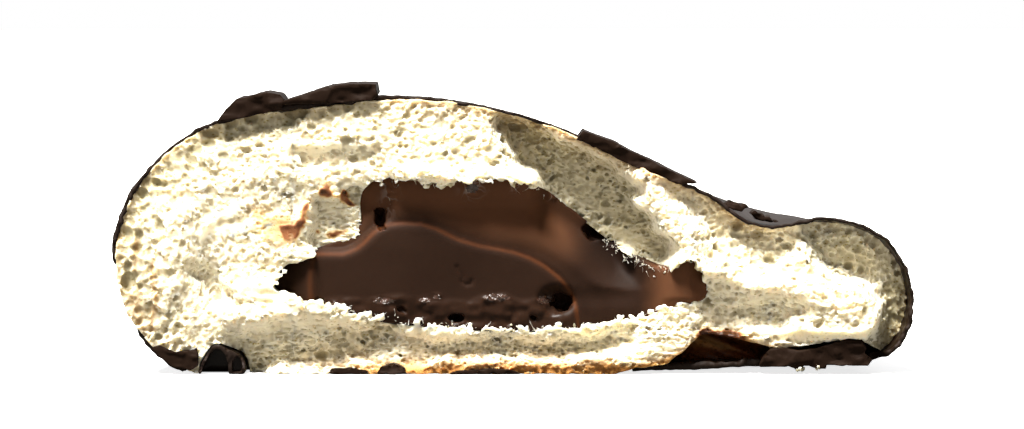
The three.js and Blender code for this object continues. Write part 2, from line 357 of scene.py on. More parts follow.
def finishMaterial(material, settings, inputs):
    shader = addNode(material, "ShaderNodeBsdfPrincipled", settings, inputs)
    addNode(material, "ShaderNodeOutputMaterial", None, {"Surface": shader.outputs[0]})
    return material


def wheatCrumb():
    # Soft wheat crumb, torn: light sinks in and comes out warmer, so pores glow instead of going black.
    m = newMaterial("softWheatCrumb")
    place = addNode(m, "ShaderNodeTexCoord").outputs["Object"]
    crust, stain, deep = (
        addNode(m, "ShaderNodeAttribute", {"attribute_name": name}).outputs["Fac"]
        for name in ("crust", "stain", "deep")
    )
    # Mottling 1.4 mm across.
    mottle = addNode(m, "ShaderNodeTexNoise", None, {"Vector": place, "Scale": 700.0, "Detail": 4.0})
    pale = addNode(
        m, "ShaderNodeMix", {"data_type": "RGBA"},
        {0: mottle.outputs[0], 6: colour("#f3eddb"), 7: colour("#eae1c6")},
    ).outputs[2]
    # Painted shade: the crumb turns olive grey as the deep value rises, which paints shade into its pores and
    # hollows.
    inner = addNode(
        m, "ShaderNodeMix", {"data_type": "RGBA"}, {0: deep, 6: pale, 7: colour("#a9a084")}
    ).outputs[2]
    baked = addNode(
        m, "ShaderNodeMix", {"data_type": "RGBA"}, {0: crust, 6: inner, 7: colour("#a07946")}
    ).outputs[2]
    ramp = addNode(m, "ShaderNodeValToRGB", None, {"Fac": stain})
    steps = ramp.color_ramp
    steps.elements[0].color = colour("#fffdf8")
    steps.elements[1].color = colour("#4a2c1c")
    for position, shade in ((0.3, "#f0d6b0"), (0.6, "#9c6748")):
        steps.elements.new(position).color = colour(shade)
    stained = addNode(
        m, "ShaderNodeMix", {"data_type": "RGBA", "blend_type": "MULTIPLY"},
        {0: 1.0, 6: baked, 7: ramp.outputs[0]},
    ).outputs[2]
    # Cells too fine for the mesh: pin pricks half a millimetre apart, drawn out sideways.
    stretched = addNode(
        m, "ShaderNodeMapping", None, {"Vector": place, "Scale": (1500.0, 1900.0, 2300.0)}
    ).outputs[0]
    pricks = addNode(
        m, "ShaderNodeTexVoronoi", {"feature": "F1"}, {"Vector": stretched, "Scale": 1.0, "Randomness": 1.0}
    )
    # They crowd in patches 4 mm across.
    patches = addNode(m, "ShaderNodeTexNoise", None, {"Vector": place, "Scale": 260.0, "Detail": 2.0})
    reach = addNode(
        m, "ShaderNodeMapRange", None,
        {"Value": patches.outputs[0], "From Min": 0.35, "From Max": 0.65, "To Min": 0.12, "To Max": 0.5},
    ).outputs[0]
    pit = addNode(
        m, "ShaderNodeMapRange", {"interpolation_type": "SMOOTHSTEP"},
        {"Value": pricks.outputs[0], "From Min": 0.0, "From Max": reach, "To Min": 1.0, "To Max": 0.0},
    ).outputs[0]
    # Painted shade: each prick is coloured darker towards its middle, as if shade filled it.
    pitShaded = addNode(
        m, "ShaderNodeMix", {"data_type": "RGBA", "blend_type": "MULTIPLY"},
        {0: pit, 6: stained, 7: colour("#cdc29a")},
    ).outputs[2]
    # The crumb's own grain, a quarter of a millimetre.
    fine = addNode(m, "ShaderNodeTexNoise", None, {"Vector": place, "Scale": 3800.0, "Detail": 3.0})
    height = addNode(m, "ShaderNodeMath", {"operation": "SUBTRACT"}, {0: fine.outputs[0], 1: pit})
    bump = addNode(
        m, "ShaderNodeBump", None, {"Height": height.outputs[0], "Strength": 0.5, "Distance": 0.00016}
    )
    wet = addNode(
        m, "ShaderNodeMapRange", None,
        {"Value": stain, "From Min": 0.4, "From Max": 0.9, "To Min": 0.85, "To Max": 0.3},
    )
    return finishMaterial(m, {"subsurface_method": "RANDOM_WALK"}, {
        "Base Color": pitShaded, "Roughness": wet.outputs[0], "IOR": 1.4, "Specular IOR Level": 0.25,
        "Subsurface Weight": 1.0, "Subsurface Radius": (1.0, 0.92, 0.74), "Subsurface Scale": 0.0012,
        "Normal": bump.outputs[0],
    })


def chocolateCream():
    # Cooked chocolate cream: smooth and moist, with a soft gloss where it was pulled apart.
    m = newMaterial("chocolateCream")
    place = addNode(m, "ShaderNodeTexCoord").outputs["Object"]
    rim, rough, behind, paintedShade, paintedGlint = (
        addNode(m, "ShaderNodeAttribute", {"attribute_name": name}).outputs["Fac"]
        for name in ("rim", "rough", "back", "paintedShade", "paintedGlint")
    )
    # Cloudy tones 8 mm across, from uneven cocoa.
    cloud = addNode(m, "ShaderNodeTexNoise", None, {"Vector": place, "Scale": 130.0, "Detail": 3.0})
    front = addNode(
        m, "ShaderNodeMix", {"data_type": "RGBA"},
        {0: cloud.outputs[0], 6: colour("#1e120c"), 7: colour("#261810")},
    ).outputs[2]
    # Painted light: the back mass, which lies in the crumb's shadow, takes a lighter copy of the cream's
    # colour.
    backLightened = addNode(
        m, "ShaderNodeMix", {"data_type": "RGBA"},
        {0: cloud.outputs[0], 6: colour("#4c301f"), 7: colour("#5b3b28")},
    ).outputs[2]
    body = addNode(m, "ShaderNodeMix", {"data_type": "RGBA"}, {0: behind, 6: front, 7: backLightened}).outputs[2]
    # Painted highlight: a lighter colour along the front mass's upper edge and round its left end.
    rimHighlighted = addNode(
        m, "ShaderNodeMix", {"data_type": "RGBA"}, {0: rim, 6: body, 7: colour("#402312")}
    ).outputs[2]
    # Painted shade: a near-black colour laid over the fold under the crumb's right-hand hollow, the left tip
    # and the lit part of the back mass.
    shade = addNode(
        m, "ShaderNodeMix", {"data_type": "RGBA"}, {0: paintedShade, 6: rimHighlighted, 7: colour("#160c07")}
    ).outputs[2]
    # Painted highlight: thin pale streaks, a tenth of a millimetre wide, painted as crinkled film catching
    # the light.
    creases = addNode(
        m, "ShaderNodeTexNoise", None, {"Vector": place, "Scale": 560.0, "Detail": 1.0, "Distortion": 0.9}
    )
    off = addNode(m, "ShaderNodeMath", {"operation": "SUBTRACT"}, {0: creases.outputs[0], 1: 0.5})
    near = addNode(m, "ShaderNodeMath", {"operation": "ABSOLUTE"}, {0: off.outputs[0]})
    line = addNode(
        m, "ShaderNodeMapRange", None,
        {"Value": near.outputs[0], "From Min": 0.01, "From Max": 0.05, "To Min": 1.0, "To Max": 0.0},
    )
    streak = addNode(m, "ShaderNodeMath", {"operation": "MULTIPLY"}, {0: line.outputs[0], 1: paintedGlint})
    glintStreaked = addNode(
        m, "ShaderNodeMix", {"data_type": "RGBA"}, {0: streak.outputs[0], 6: shade, 7: colour("#857a74")}
    ).outputs[2]
    gloss = addNode(
        m, "ShaderNodeMapRange", None,
        {"Value": rough, "From Min": 0.0, "From Max": 1.0, "To Min": 0.54, "To Max": 0.14},
    )
    # Faint unevenness 1.4 mm across, so that the gloss isn't flat.
    fine = addNode(m, "ShaderNodeTexNoise", None, {"Vector": place, "Scale": 700.0, "Detail": 3.0})
    bump = addNode(
        m, "ShaderNodeBump", None, {"Height": fine.outputs[0], "Strength": 0.1, "Distance": 0.0002}
    )
    return finishMaterial(m, None, {
        "Base Color": glintStreaked, "Roughness": gloss.outputs[0], "IOR": 1.45, "Specular IOR Level": 0.05,
        "Subsurface Weight": 0.15, "Subsurface Radius": (1.0, 0.5, 0.3), "Subsurface Scale": 0.0008,
        "Normal": bump.outputs[0],
    })


def wetCream():
    # The same cream where it was pulled off in shreds: wet, crinkled, with hard white glints.
    m = newMaterial("wetCreamShreds")
    place = addNode(m, "ShaderNodeTexCoord").outputs["Object"]
    cloud = addNode(m, "ShaderNodeTexNoise", None, {"Vector": place, "Scale": 900.0, "Detail": 3.0})
    shade = addNode(
        m, "ShaderNodeMix", {"data_type": "RGBA"},
        {0: cloud.outputs[0], 6: colour("#281710"), 7: colour("#3e281d")},
    ).outputs[2]
    # Crinkles two thirds of a millimetre apart.
    crinkle = addNode(
        m, "ShaderNodeTexNoise", None, {"Vector": place, "Scale": 1500.0, "Detail": 2.0, "Distortion": 1.2}
    )
    bump = addNode(
        m, "ShaderNodeBump", None, {"Height": crinkle.outputs[0], "Strength": 0.9, "Distance": 0.0006}
    )
    return finishMaterial(m, None, {
        "Base Color": shade, "Roughness": 0.16, "IOR": 1.45, "Specular IOR Level": 0.7,
        "Normal": bump.outputs[0],
    })


def darkChocolate(name, sheen):
    # Dark compound chocolate, poured and set: satin skin with faint swirls, dull where it broke.
    m = newMaterial(name)
    place = addNode(m, "ShaderNodeTexCoord").outputs["Object"]
    broken = addNode(m, "ShaderNodeAttribute", {"attribute_name": "broken"}).outputs["Fac"]
    # Swirls 11 mm across from pouring, and a skin that ripples every 2.4 mm.
    cloud = addNode(m, "ShaderNodeTexNoise", None, {"Vector": place, "Scale": 90.0, "Detail": 4.0})
    skin = addNode(
        m, "ShaderNodeMix", {"data_type": "RGBA"},
        {0: cloud.outputs[0], 6: colour("#150d08"), 7: colour("#1d120b")},
    ).outputs[2]
    shade = addNode(
        m, "ShaderNodeMix", {"data_type": "RGBA"}, {0: broken, 6: skin, 7: colour("#1a100a")}
    ).outputs[2]
    gloss = addNode(
        m, "ShaderNodeMapRange", None,
        {"Value": broken, "From Min": 0.0, "From Max": 1.0, "To Min": 0.34, "To Max": 0.66},
    )
    fine = addNode(m, "ShaderNodeTexNoise", None, {"Vector": place, "Scale": 420.0, "Detail": 4.0})
    bump = addNode(
        m, "ShaderNodeBump", None, {"Height": fine.outputs[0], "Strength": 0.18, "Distance": 0.0003}
    )
    return finishMaterial(m, None, {
        "Base Color": shade, "Roughness": gloss.outputs[0], "IOR": 1.46, "Specular IOR Level": sheen,
        "Normal": bump.outputs[0],
    })


crumbFinish = wheatCrumb()
creamFinish = chocolateCream()
wetFinish = wetCream()
chocolateFinish = darkChocolate("darkChocolate", 0.13)
snappedFinish = darkChocolate("snappedChocolate", 0.04)

# Shapes of the torn face.

filling = {
    "depth": 33.0,
    "centre": (-1.0, 13.5),
    "softening": 5.0,
    "front": 0.9,
    "outline": [
        (-30, 11.2), (-28.4, 13.4), (-25.6, 15.0), (-21.7, 16.3), (-18.9, 17.3), (-18.8, 22.4),
        (-16.6, 24.4), (-13, 24.7), (-9, 23.9), (-5.3, 24.6), (-1, 24.6), (3, 23.6), (6.6, 20.9),
        (10.6, 17.6), (14.8, 14.6), (18.2, 13.1), (20.4, 13.7), (22.3, 15.0), (24.2, 12.0),
        (23.8, 9.4), (20, 8.3), (14, 6.4), (7.9, 5.6), (0, 5.4), (-8, 5.7), (-15.3, 6.6),
        (-21.5, 8.0), (-26.5, 9.2),
    ],
    # The upper edge of the front mass, left to right.
    "crest": [
        (-31, 11.6), (-29.6, 12.9), (-27.8, 14.1), (-25.9, 15.0), (-24.6, 15.25), (-21.2, 15.2),
        (-19.6, 15.8), (-18.7, 16.5), (-17.5, 17.75), (-16.4, 18.6), (-15.3, 18.98), (-13.8, 19.08),
        (-11.2, 18.98), (-9.2, 18.3), (-6.6, 17.0), (-4.0, 16.25), (-1.5, 15.8), (0.4, 15.4),
        (2.25, 14.75), (4.1, 13.75), (6.0, 12.25), (7.25, 10.75), (8.0, 9.2), (8.5, 6.8), (8.8, 5.0),
    ],
}
crease = [
    (14.4, -5), (15.6, 0.0), (18.4, 0.9), (21.2, 2.9), (23.4, 5.0), (25.2, 5.2), (29, 4.4),
    (33, 3.5), (38, 3.9), (42.5, 4.7), (45, 3.6), (46.8, 2.2), (48.4, -5),
]

# Hollows of the torn crumb: outline on the face, depth into the bun, softness of the edge.
crumbPockets = [
    ([(-2.1, 32.0), (2.3, 31.2), (7.9, 28.6), (12.3, 26.2), (16.4, 23.8), (15.6, 22.0), (17.0, 19.8),
      (18.6, 17.3), (19.6, 14.2), (17.3, 13.4), (13.4, 15.6), (11.0, 15.2), (5.6, 18.6), (3.4, 21.8),
      (2.9, 24.4), (1.0, 26.9), (-0.9, 29.4)], 5.0, 1.2),
    ([(36.1, 20.0), (37.0, 16.6), (37.8, 14.7), (40.3, 12.4), (44.7, 10.9), (45.9, 9.0), (46.3, 6.2),
      (45.2, 4.4), (47, 1.5), (51, 3), (53, 10), (51, 17), (45, 21), (38, 22)], 3.3, 1.1),
    ([(19.5, 24.4), (24.0, 22.4), (28, 20.2), (32, 18.0), (36, 17.6), (35, 14.8), (31.5, 13.4), (28.5, 14.8),
      (25.4, 15.2), (24.1, 17.6), (21.5, 21.2), (19.0, 22.8)], 1.7, 1.3),
    ([(24.1, 11.5), (31, 10.4), (34.8, 9.4), (36, 7.1), (33.5, 6.0), (28.5, 6.2), (25, 6.7)], 1.8, 1.2),
    ([(-36.2, 3.6), (-34.6, 5), (-29.5, 6.2), (-26.5, 7.4), (-22.8, 7.0), (-18, 6.0), (-12, 5.3), (-8, 4.8),
      (0, 4.5), (7.9, 4.7), (13.0, 5.3), (15.0, 5.2), (12.0, 2.8), (4.5, 1.7), (-1.5, 1.4), (-7.5, 2.0),
      (-14, 1.2), (-22.8, 1.2), (-29.5, 0.6), (-31.5, -1.5), (-36.5, -1.5)], 2.3, 0.9),
    ([(-23.8, 21.9), (-20.9, 23.1), (-18.8, 23.1), (-17.8, 20), (-18.4, 16.9), (-20.9, 15.2),
      (-23.4, 15.2), (-25.5, 16.3), (-25.8, 18.1), (-25, 20)], 2.2, 0.6),
    ([(-39.4, 12.9), (-37.1, 13.4), (-35, 11.3), (-34.3, 9.4), (-35.9, 8.6), (-38, 9.4),
      (-39.3, 11.3)], 1.2, 0.9),
    ([(-36.3, 32.2), (-31.5, 33.2), (-26.5, 33.6), (-26.8, 32.1), (-31.3, 31.1), (-35.5, 30.6)], 0.55, 0.6),
    ([(-27, 28.2), (-22, 28.8), (-17, 28), (-18, 26.6), (-23, 26.2), (-27.4, 26.6)], 0.8, 0.7),
]
# Swellings: a line on the face, half its width, how far it stands forward.
crumbRidges = [
    (-45, 10, -42, 24, 5.5, 0.9), (-20, 29.5, -2, 28.0, 3.4, 0.7), (-14, 24.6, 1.5, 24.6, 1.7, 1.3),
    (17.6, 24.6, 22.4, 14.0, 2.2, 1.6), (23, 13.0, 44.0, 8.0, 2.6, 1.5), (-34, 9.0, -24, 7.6, 2.4, 1.0),
    (-33, 16, -31, 24, 5.0, 0.4), (36.0, 5.6, 44.5, 5.2, 1.2, 0.9), (-10, 1.6, 16, 2.0, 1.2, 0.4),
    (-26, 1.4, -16, 1.2, 0.9, 0.35), (-36.9, 22.3, -26.9, 26.4, 1.7, 0.25),
    (-38.3, 27.0, -31.4, 29.3, 1.2, 0.4), (-42.5, 12.0, -41.0, 20.0, 1.6, 0.4),
]
# Folds of baked skin that run down the fat end: a line on the face, half its width, how brown.
skinFolds = [
    (-47.1, 16.7, -47.3, 13.2, 0.35, 0.5), (-45.0, 13.9, -44.7, 8.5, 0.4, 0.7),
    (-44.7, 8.5, -45.0, 5.6, 0.55, 0.6), (-47.4, 9.6, -46.0, 5.0, 1.0, 0.5),
]
# Where the crumb's cells are wide open, and where it was pulled into threads: x, z, half sizes, amount.
openCells = [
    (-44, 22, 5, 9, 1.0), (-47, 12, 3, 8, 0.9), (-37, 28, 7, 4, 0.9), (-26, 27, 8, 2.4, 0.7),
    (-38, 12, 6, 5, 0.8), (-42, 6, 4, 4, 0.8), (-33, 20, 6, 4, 0.35), (29, 17, 6, 3.5, 0.8),
    (43, 14, 6, 4, 0.8), (47.4, 7, 2.4, 5, 0.8), (-3, 30.5, 9, 2.2, 0.6), (-26, 9, 3, 2, 0.6),
]
pulledThreads = [
    (-6, 24.6, 12, 1.8, 1.0), (20, 19, 4, 6, 0.9), (34, 9, 12, 3, 0.8), (-2, 3.4, 24, 2.0, 1.0),
    (14, 4.6, 8, 3, 1.0), (-27, 4.4, 8, 2.6, 0.9), (9, 24, 9, 6, 0.6), (-21.5, 19, 4, 4, 1.0),
    (-22, 13.6, 6, 3, 0.9), (27, 8.6, 4, 2, 0.8),
]


def spotMap(spots):
    total = np.zeros(mapGrid.shape[:2])
    for cx, cz, halfWidth, halfHeight, amount in spots:
        away = ((mapGrid[..., 0] - cx) / halfWidth) ** 2 + ((mapGrid[..., 1] - cz) / halfHeight) ** 2
        total = np.maximum(total, amount * np.exp(-away * away * 0.7))
    return total


def nearLine(x, z, line, reach):
    # 1 on a straight line on the face, falling away to either side.
    ax, az, bx, bz = line
    px, pz = x - ax, z - az
    ex, ez = bx - ax, bz - az
    t = np.clip((px * ex + pz * ez) / (ex * ex + ez * ez), 0, 1)
    return np.exp(-((px - t * ex) ** 2 + (pz - t * ez) ** 2) / reach**2)


pocketMap = np.zeros(mapGrid.shape[:2])
for outline, depth, edge in crumbPockets:
    pocketMap += depth * smoothStep(-edge, edge, distanceMap(closedCurve(outline, 90)))
for *line, reach, amount in crumbRidges:
    pocketMap -= amount * nearLine(mapGrid[..., 0], mapGrid[..., 1], line, reach)
openMap = spotMap(openCells)
threadMap = spotMap(pulledThreads)

creamMap = distanceMap(closedCurve(filling["outline"], 260))
creaseMap = distanceMap(closedCurve(crease, 160))
footMap = distanceMap(np.array([
    (-39.5, -2), (-39.1, 1.4), (-38.3, 2.8), (-37.5, 3.75), (-36.5, 3.85), (-35.4, 3.35), (-34.6, 3.0),
    (-33.8, 2.7), (-33.2, 1.6), (-33.0, 0.4), (-33.2, -2)
]))
faceMap = distanceMap(bunLoaf.sharp)
behindShare = 8.0 / bun["depth"]
behindMap = distanceMap(bunLoaf.ring(behindShare))      # the outline 8 mm further in


def alongMap():
    # Distance round the bun at every map point, so that threads can follow the crust.
    turns = np.linspace(0, 2 * math.pi, 721)
    steps = np.hypot(50 * np.diff(np.cos(turns)), 22 * np.diff(np.sin(turns)))
    run = np.concatenate([[0], np.cumsum(steps)])
    angle = np.arctan2((mapGrid[..., 1] - 11) / 22, (mapGrid[..., 0] + 8) / 50)
    return np.interp((angle + 0.35) % (2 * math.pi), turns, run)


flowMap = alongMap()


def flow(x, y, z):
    # Coordinates that run along the crust, into the bun and away from the crust.
    return np.stack([sample(flowMap, x, z), y, sample(faceMap, x, z)], axis=-1)


# How thick the coat's edge shows round the torn face, and how far it stands back there.
coatThickness = spreadMap([
    (-49.5, 20, 0.6), (-48, 24, 0.6), (-44, 27.5, 0.5), (-39, 31.2, 0.45), (-33, 33, 0.7),
    (-25, 34.2, 0.9), (-17, 35, 0.8), (-12, 35, 0.6), (-6, 34, 0.4), (2, 32, 0.38), (7, 30.5, 0.4),
    (10, 29, 0.5), (18, 25.4, 0.45), (26, 21.8, 0.4), (31, 19.3, 0.35), (38, 19.6, 0.4),
    (45, 18, 0.34), (49, 13.5, 0.34), (50, 8, 0.36), (49, 4, 0.5), (45, 1.4, 0.8), (30, 0.9, 0.8),
    (-49.6, 15, 0.5), (-49, 10, 0.12), (-48, 7.2, 0.2), (-46.4, 4.6, 0.5), (-42, 1, 0.7),
])
coatBack = spreadMap([
    (-49.5, 20, 0.0), (-49.8, 15.5, 0.2), (-49.4, 12, 3.4), (-48.6, 9, 3.8), (-47.8, 6.8, 2.6),
    (-46.2, 4.4, 0.3), (-42, 1, 0.2), (-40.5, 30.2, 0.9), (-38.5, 31.4, 0.2), (-30, 33.6, 0.0),
    (-20, 34.8, 0.0), (-13, 35, 1.2), (-9, 34.7, 0.1), (0, 33, 0.0), (6.6, 30.8, 1.0), (9, 29.6, 0.2),
    (20, 24.6, 0.1), (30, 19.6, 0.3), (38, 19.6, 0.2), (48, 15.6, 0.1), (50, 8, 0.1), (47.6, 2.8, 0.3),
    (45.6, 1.6, 4.2), (44.6, 1.3, 3.6), (38, 1, 1.6), (30, 0.9, 1.2), (20, 0.3, 0.8),
])

print("flat maps ready")

# Bread: a porous layer at the tear, and a plain body behind it.

crumb = {
    "voxel": 0.128,   # grid of the porous layer
    "back": 7.0,            # how deep the porous layer reaches
    "fineCells": 21000,
    "openCells": 1500,
    "mostTriangles": 178000,
    "bodyTriangles": 12000,
    "bodyInset": 1.8,       # how far the body stays inside the coat's outside
    "bodyFront": 6.1,       # it starts inside the porous layer
    "bodyEnd": 2.2,         # and ends this far before the round end
    "footDepth": 6.5,       # how far back the gap for the curl at the foot goes
    "lengths": ("fat", "rising", "falling", "thin"),
    "cuts": (-56.0, -27.5, -1.5, 22.5, 56.0),   # the layer is made in four overlapping lengths
}


# Where the filling marked the crumb: outline, strength, softness of the edge.
creamStains = [
    ([(-32.4, 20.9), (-31.4, 20.5), (-30.1, 20.2), (-28.0, 20.0), (-27.0, 19.0), (-28.2, 16.6), (-29.9, 16.8),
      (-31.4, 18.0), (-31.9, 19.1)], 0.36, 1.5),
    ([(-25.4, 21.6), (-25.6, 20.5), (-25.8, 19.3), (-26.4, 18.2), (-27.1, 17.0), (-27.8, 16.7), (-28.5, 17.0),
      (-29.1, 18.2), (-29.2, 18.7), (-28.3, 18.9), (-27.2, 18.9), (-26.7, 19.5), (-26.4, 20.2),
      (-26.0, 21.2)], 0.86, 0.34),
    ([(-23.2, 24.3), (-22.8, 23.4), (-22.5, 22.6), (-23.0, 22.2), (-23.9, 22.3), (-24.1, 23.0),
      (-23.6, 23.6)], 0.9, 0.28),
    ([(-21.1, 23.0), (-20.7, 22.6), (-20.4, 21.8), (-19.6, 21.1), (-20.2, 21.0), (-20.9, 21.3),
      (-21.5, 21.9)], 0.95, 0.26),
    ([(-22.5, 22.7), (-21.3, 22.2), (-21.4, 22.0), (-22.6, 22.4)], 0.5, 0.15),
    ([(-23.1, 17.5), (-21.5, 18.0), (-20.3, 17.9), (-21.4, 17.4), (-22.8, 17.1)], 0.75, 0.3),
    ([(-24.6, 17.9), (-24.3, 18.0), (-24.2, 17.7), (-24.5, 17.6)], 0.7, 0.2),
]


def stainShapes():
    # The marks' strength on a fine grid, with ragged edges.
    grid = np.arange(-35, -17, 0.1), np.arange(14, 27, 0.1)
    x, z = np.meshgrid(*grid, indexing="ij")
    at = np.stack([x, 0 * x, z], axis=-1)
    ragged = 0.22 * noiseAt(at, 0.9, 12) + 0.16 * noiseAt(at, 0.4, 13)
    total = 0 * x
    for outline, strength, edge in creamStains:
        inside = distanceMap(closedCurve(outline, 70), grid) + ragged * min(2 * edge, 1)
        total = np.maximum(total, strength * smoothStep(-edge, edge, inside))
    total *= np.clip(0.95 + 0.5 * noiseAt(at, 0.8, 14), 0.4, 1.1)
    total[[0, -1]] = 0
    total[:, [0, -1]] = 0
    return total, grid


stainMap, stainGrid = stainShapes()


def stainAt(x, z):
    # How strongly the filling marked the crumb here.
    return sample(stainMap, x, z, stainGrid)


def raggedRelief():
    # The relief on a finer grid, with ragged edges to its hollows.
    grid = np.arange(-52, 52, 0.2), np.arange(-2, 38, 0.2)
    x, z = np.meshgrid(*grid, indexing="ij")
    at = np.stack([x, 0 * x, z], axis=-1)
    across = 0.9 * noiseAt(at, 2.6, 51) + 0.45 * noiseAt(at, 1.0, 52)
    up = 0.9 * noiseAt(at, 2.6, 53) + 0.45 * noiseAt(at, 1.0, 54)
    return sample(pocketMap, x + across, z + up), grid


reliefMap, reliefGrid = raggedRelief()


def relief(x, z):
    return sample(reliefMap, x, z, reliefGrid)


def crumbBase(x, y, z):
    # How far back the torn face lies, without its fine roughness.
    run = flow(x, y, z)
    big = 0.34 * noiseAt(run, (5.5, 4.0, 3.2), 1) + 0.14 * noiseAt(run, (2.6, 2.0, 1.1), 2)
    return relief(x, z) + big * (1 - 0.85 * stainAt(x, z))


def crumbFront(x, y, z):
    # How far back the torn face lies, before its cells are opened.
    at = np.stack([x, y, z], axis=-1)
    pulled = sample(threadMap, x, z)
    threads = 0.5 - np.abs(noiseAt(flow(x, y, z), (1.4, 0.7, 0.3), 3))
    tufts = 0.5 - np.abs(noiseAt(at, (0.6, 0.5, 0.36), 4))
    rough = (0.05 + 0.4 * pulled) * threads + (0.05 + 0.34 * pulled) * tufts
    rough = rough + (0.04 + 0.05 * pulled) * noiseAt(at, 0.3, 5)
    return crumbBase(x, y, z) - rough * (1 - 0.85 * stainAt(x, z)) - 0.2 * stainAt(x, z)


def crowdAt(x, z):
    # How many cells show here: many along the crust, few in the streaks that were pulled dense.
    streak = noiseAt(flow(x, 0 * x, z), (9.0, 5.0, 1.7), 57)
    crowd = 0.42 + 0.75 * streak + 0.8 * rimAt(x, z) + 0.35 * sample(openMap, x, z)
    return crowd - 0.5 * smoothStep(3.6, 2.4, np.hypot((x + 21.6) * 0.9, z - 19))


def rimAt(x, z):
    # The open band under the crust of the fat end.
    return smoothStep(5.5, 1.5, sample(faceMap, x, z)) * smoothStep(-14, -24, x) * smoothStep(4, 10, z)


def carveCells(field, grain, xs, ys, zs, count, seed, sizeAt, sunk):
    # Opens seeded egg-shaped cells in the torn face, drawn out along the crust.
    draw = np.random.default_rng(seed)
    turnX = np.gradient(faceMap, mapStep, axis=0)
    turnZ = np.gradient(faceMap, mapStep, axis=1)
    tried = draw.uniform((-50, 0), (50, 35.2), (count * 4, 2))
    clear = sample(faceMap, *tried.T) - sample(coatThickness, *tried.T)
    tried = tried[(clear > 0.1) & (sample(creamMap, *tried.T) < 0.2) & (stainAt(*tried.T) < 0.3)]
    tried = tried[draw.random(len(tried)) < crowdAt(*tried.T)][:count]
    face = crumbFront(tried[:, 0], relief(tried[:, 0], tried[:, 1]), tried[:, 1])
    sizes = sizeAt(draw, tried[:, 0], tried[:, 1])
    lean = draw.normal(0, 0.3, len(tried))
    angles = np.arctan2(sample(turnX, *tried.T), -sample(turnZ, *tried.T)) + lean
    longs = sizes * draw.uniform(1.0, 1.7, len(tried))
    deeps = sizes * draw.uniform(0.55, 1.1, len(tried))
    deeps *= 1 - 0.5 * smoothStep(4, 7, sample(faceMap, *tried.T)) * smoothStep(-20, -27, tried[:, 0])
    starts = face + draw.uniform(*sunk, len(tried)) * sizes
    reaches = np.maximum(longs, deeps) + 0.2
    for (cx, cz), cy, size, long, deep, angle, reach in zip(
        tried, starts, sizes, longs, deeps, angles, reaches
    ):
        if size < 0.1:
            continue
        i0, i1 = np.searchsorted(xs, (cx - reach, cx + reach))
        j0, j1 = np.searchsorted(ys, (cy - reach, cy + reach))
        k0, k1 = np.searchsorted(zs, (cz - reach, cz + reach))
        if i1 <= i0 or j1 <= j0 or k1 <= k0:
            continue
        dx = (xs[i0:i1] - cx)[:, None, None]
        dy = (ys[j0:j1] - cy)[None, :, None]
        dz = (zs[k0:k1] - cz)[None, None, :]
        along = dx * math.cos(angle) - dz * math.sin(angle)
        across = dx * math.sin(angle) + dz * math.cos(angle)
        far = np.sqrt((along / long) ** 2 + (across / size) ** 2 + (dy / deep) ** 2)
        cell = (far - 1) * size + grain[i0:i1, j0:j1, k0:k1] * min(2.4 * size, 1)
        part = field[i0:i1, j0:j1, k0:k1]
        np.minimum(part, cell.astype(np.float32), out=part)


def fineSize(draw, x, z):
    size = np.clip(np.exp(draw.normal(-1.72, 0.36, len(x))), 0.11, 0.5)
    return size * (1 - 0.3 * sample(threadMap, x, z)) * (1 + 0.6 * rimAt(x, z))


def openSize(draw, x, z):
    size = np.clip(np.exp(draw.normal(-1.06, 0.34, len(x))), 0.2, 0.66)
    return np.where(draw.random(len(x)) < sample(openMap, x, z) + 0.06, size, 0)


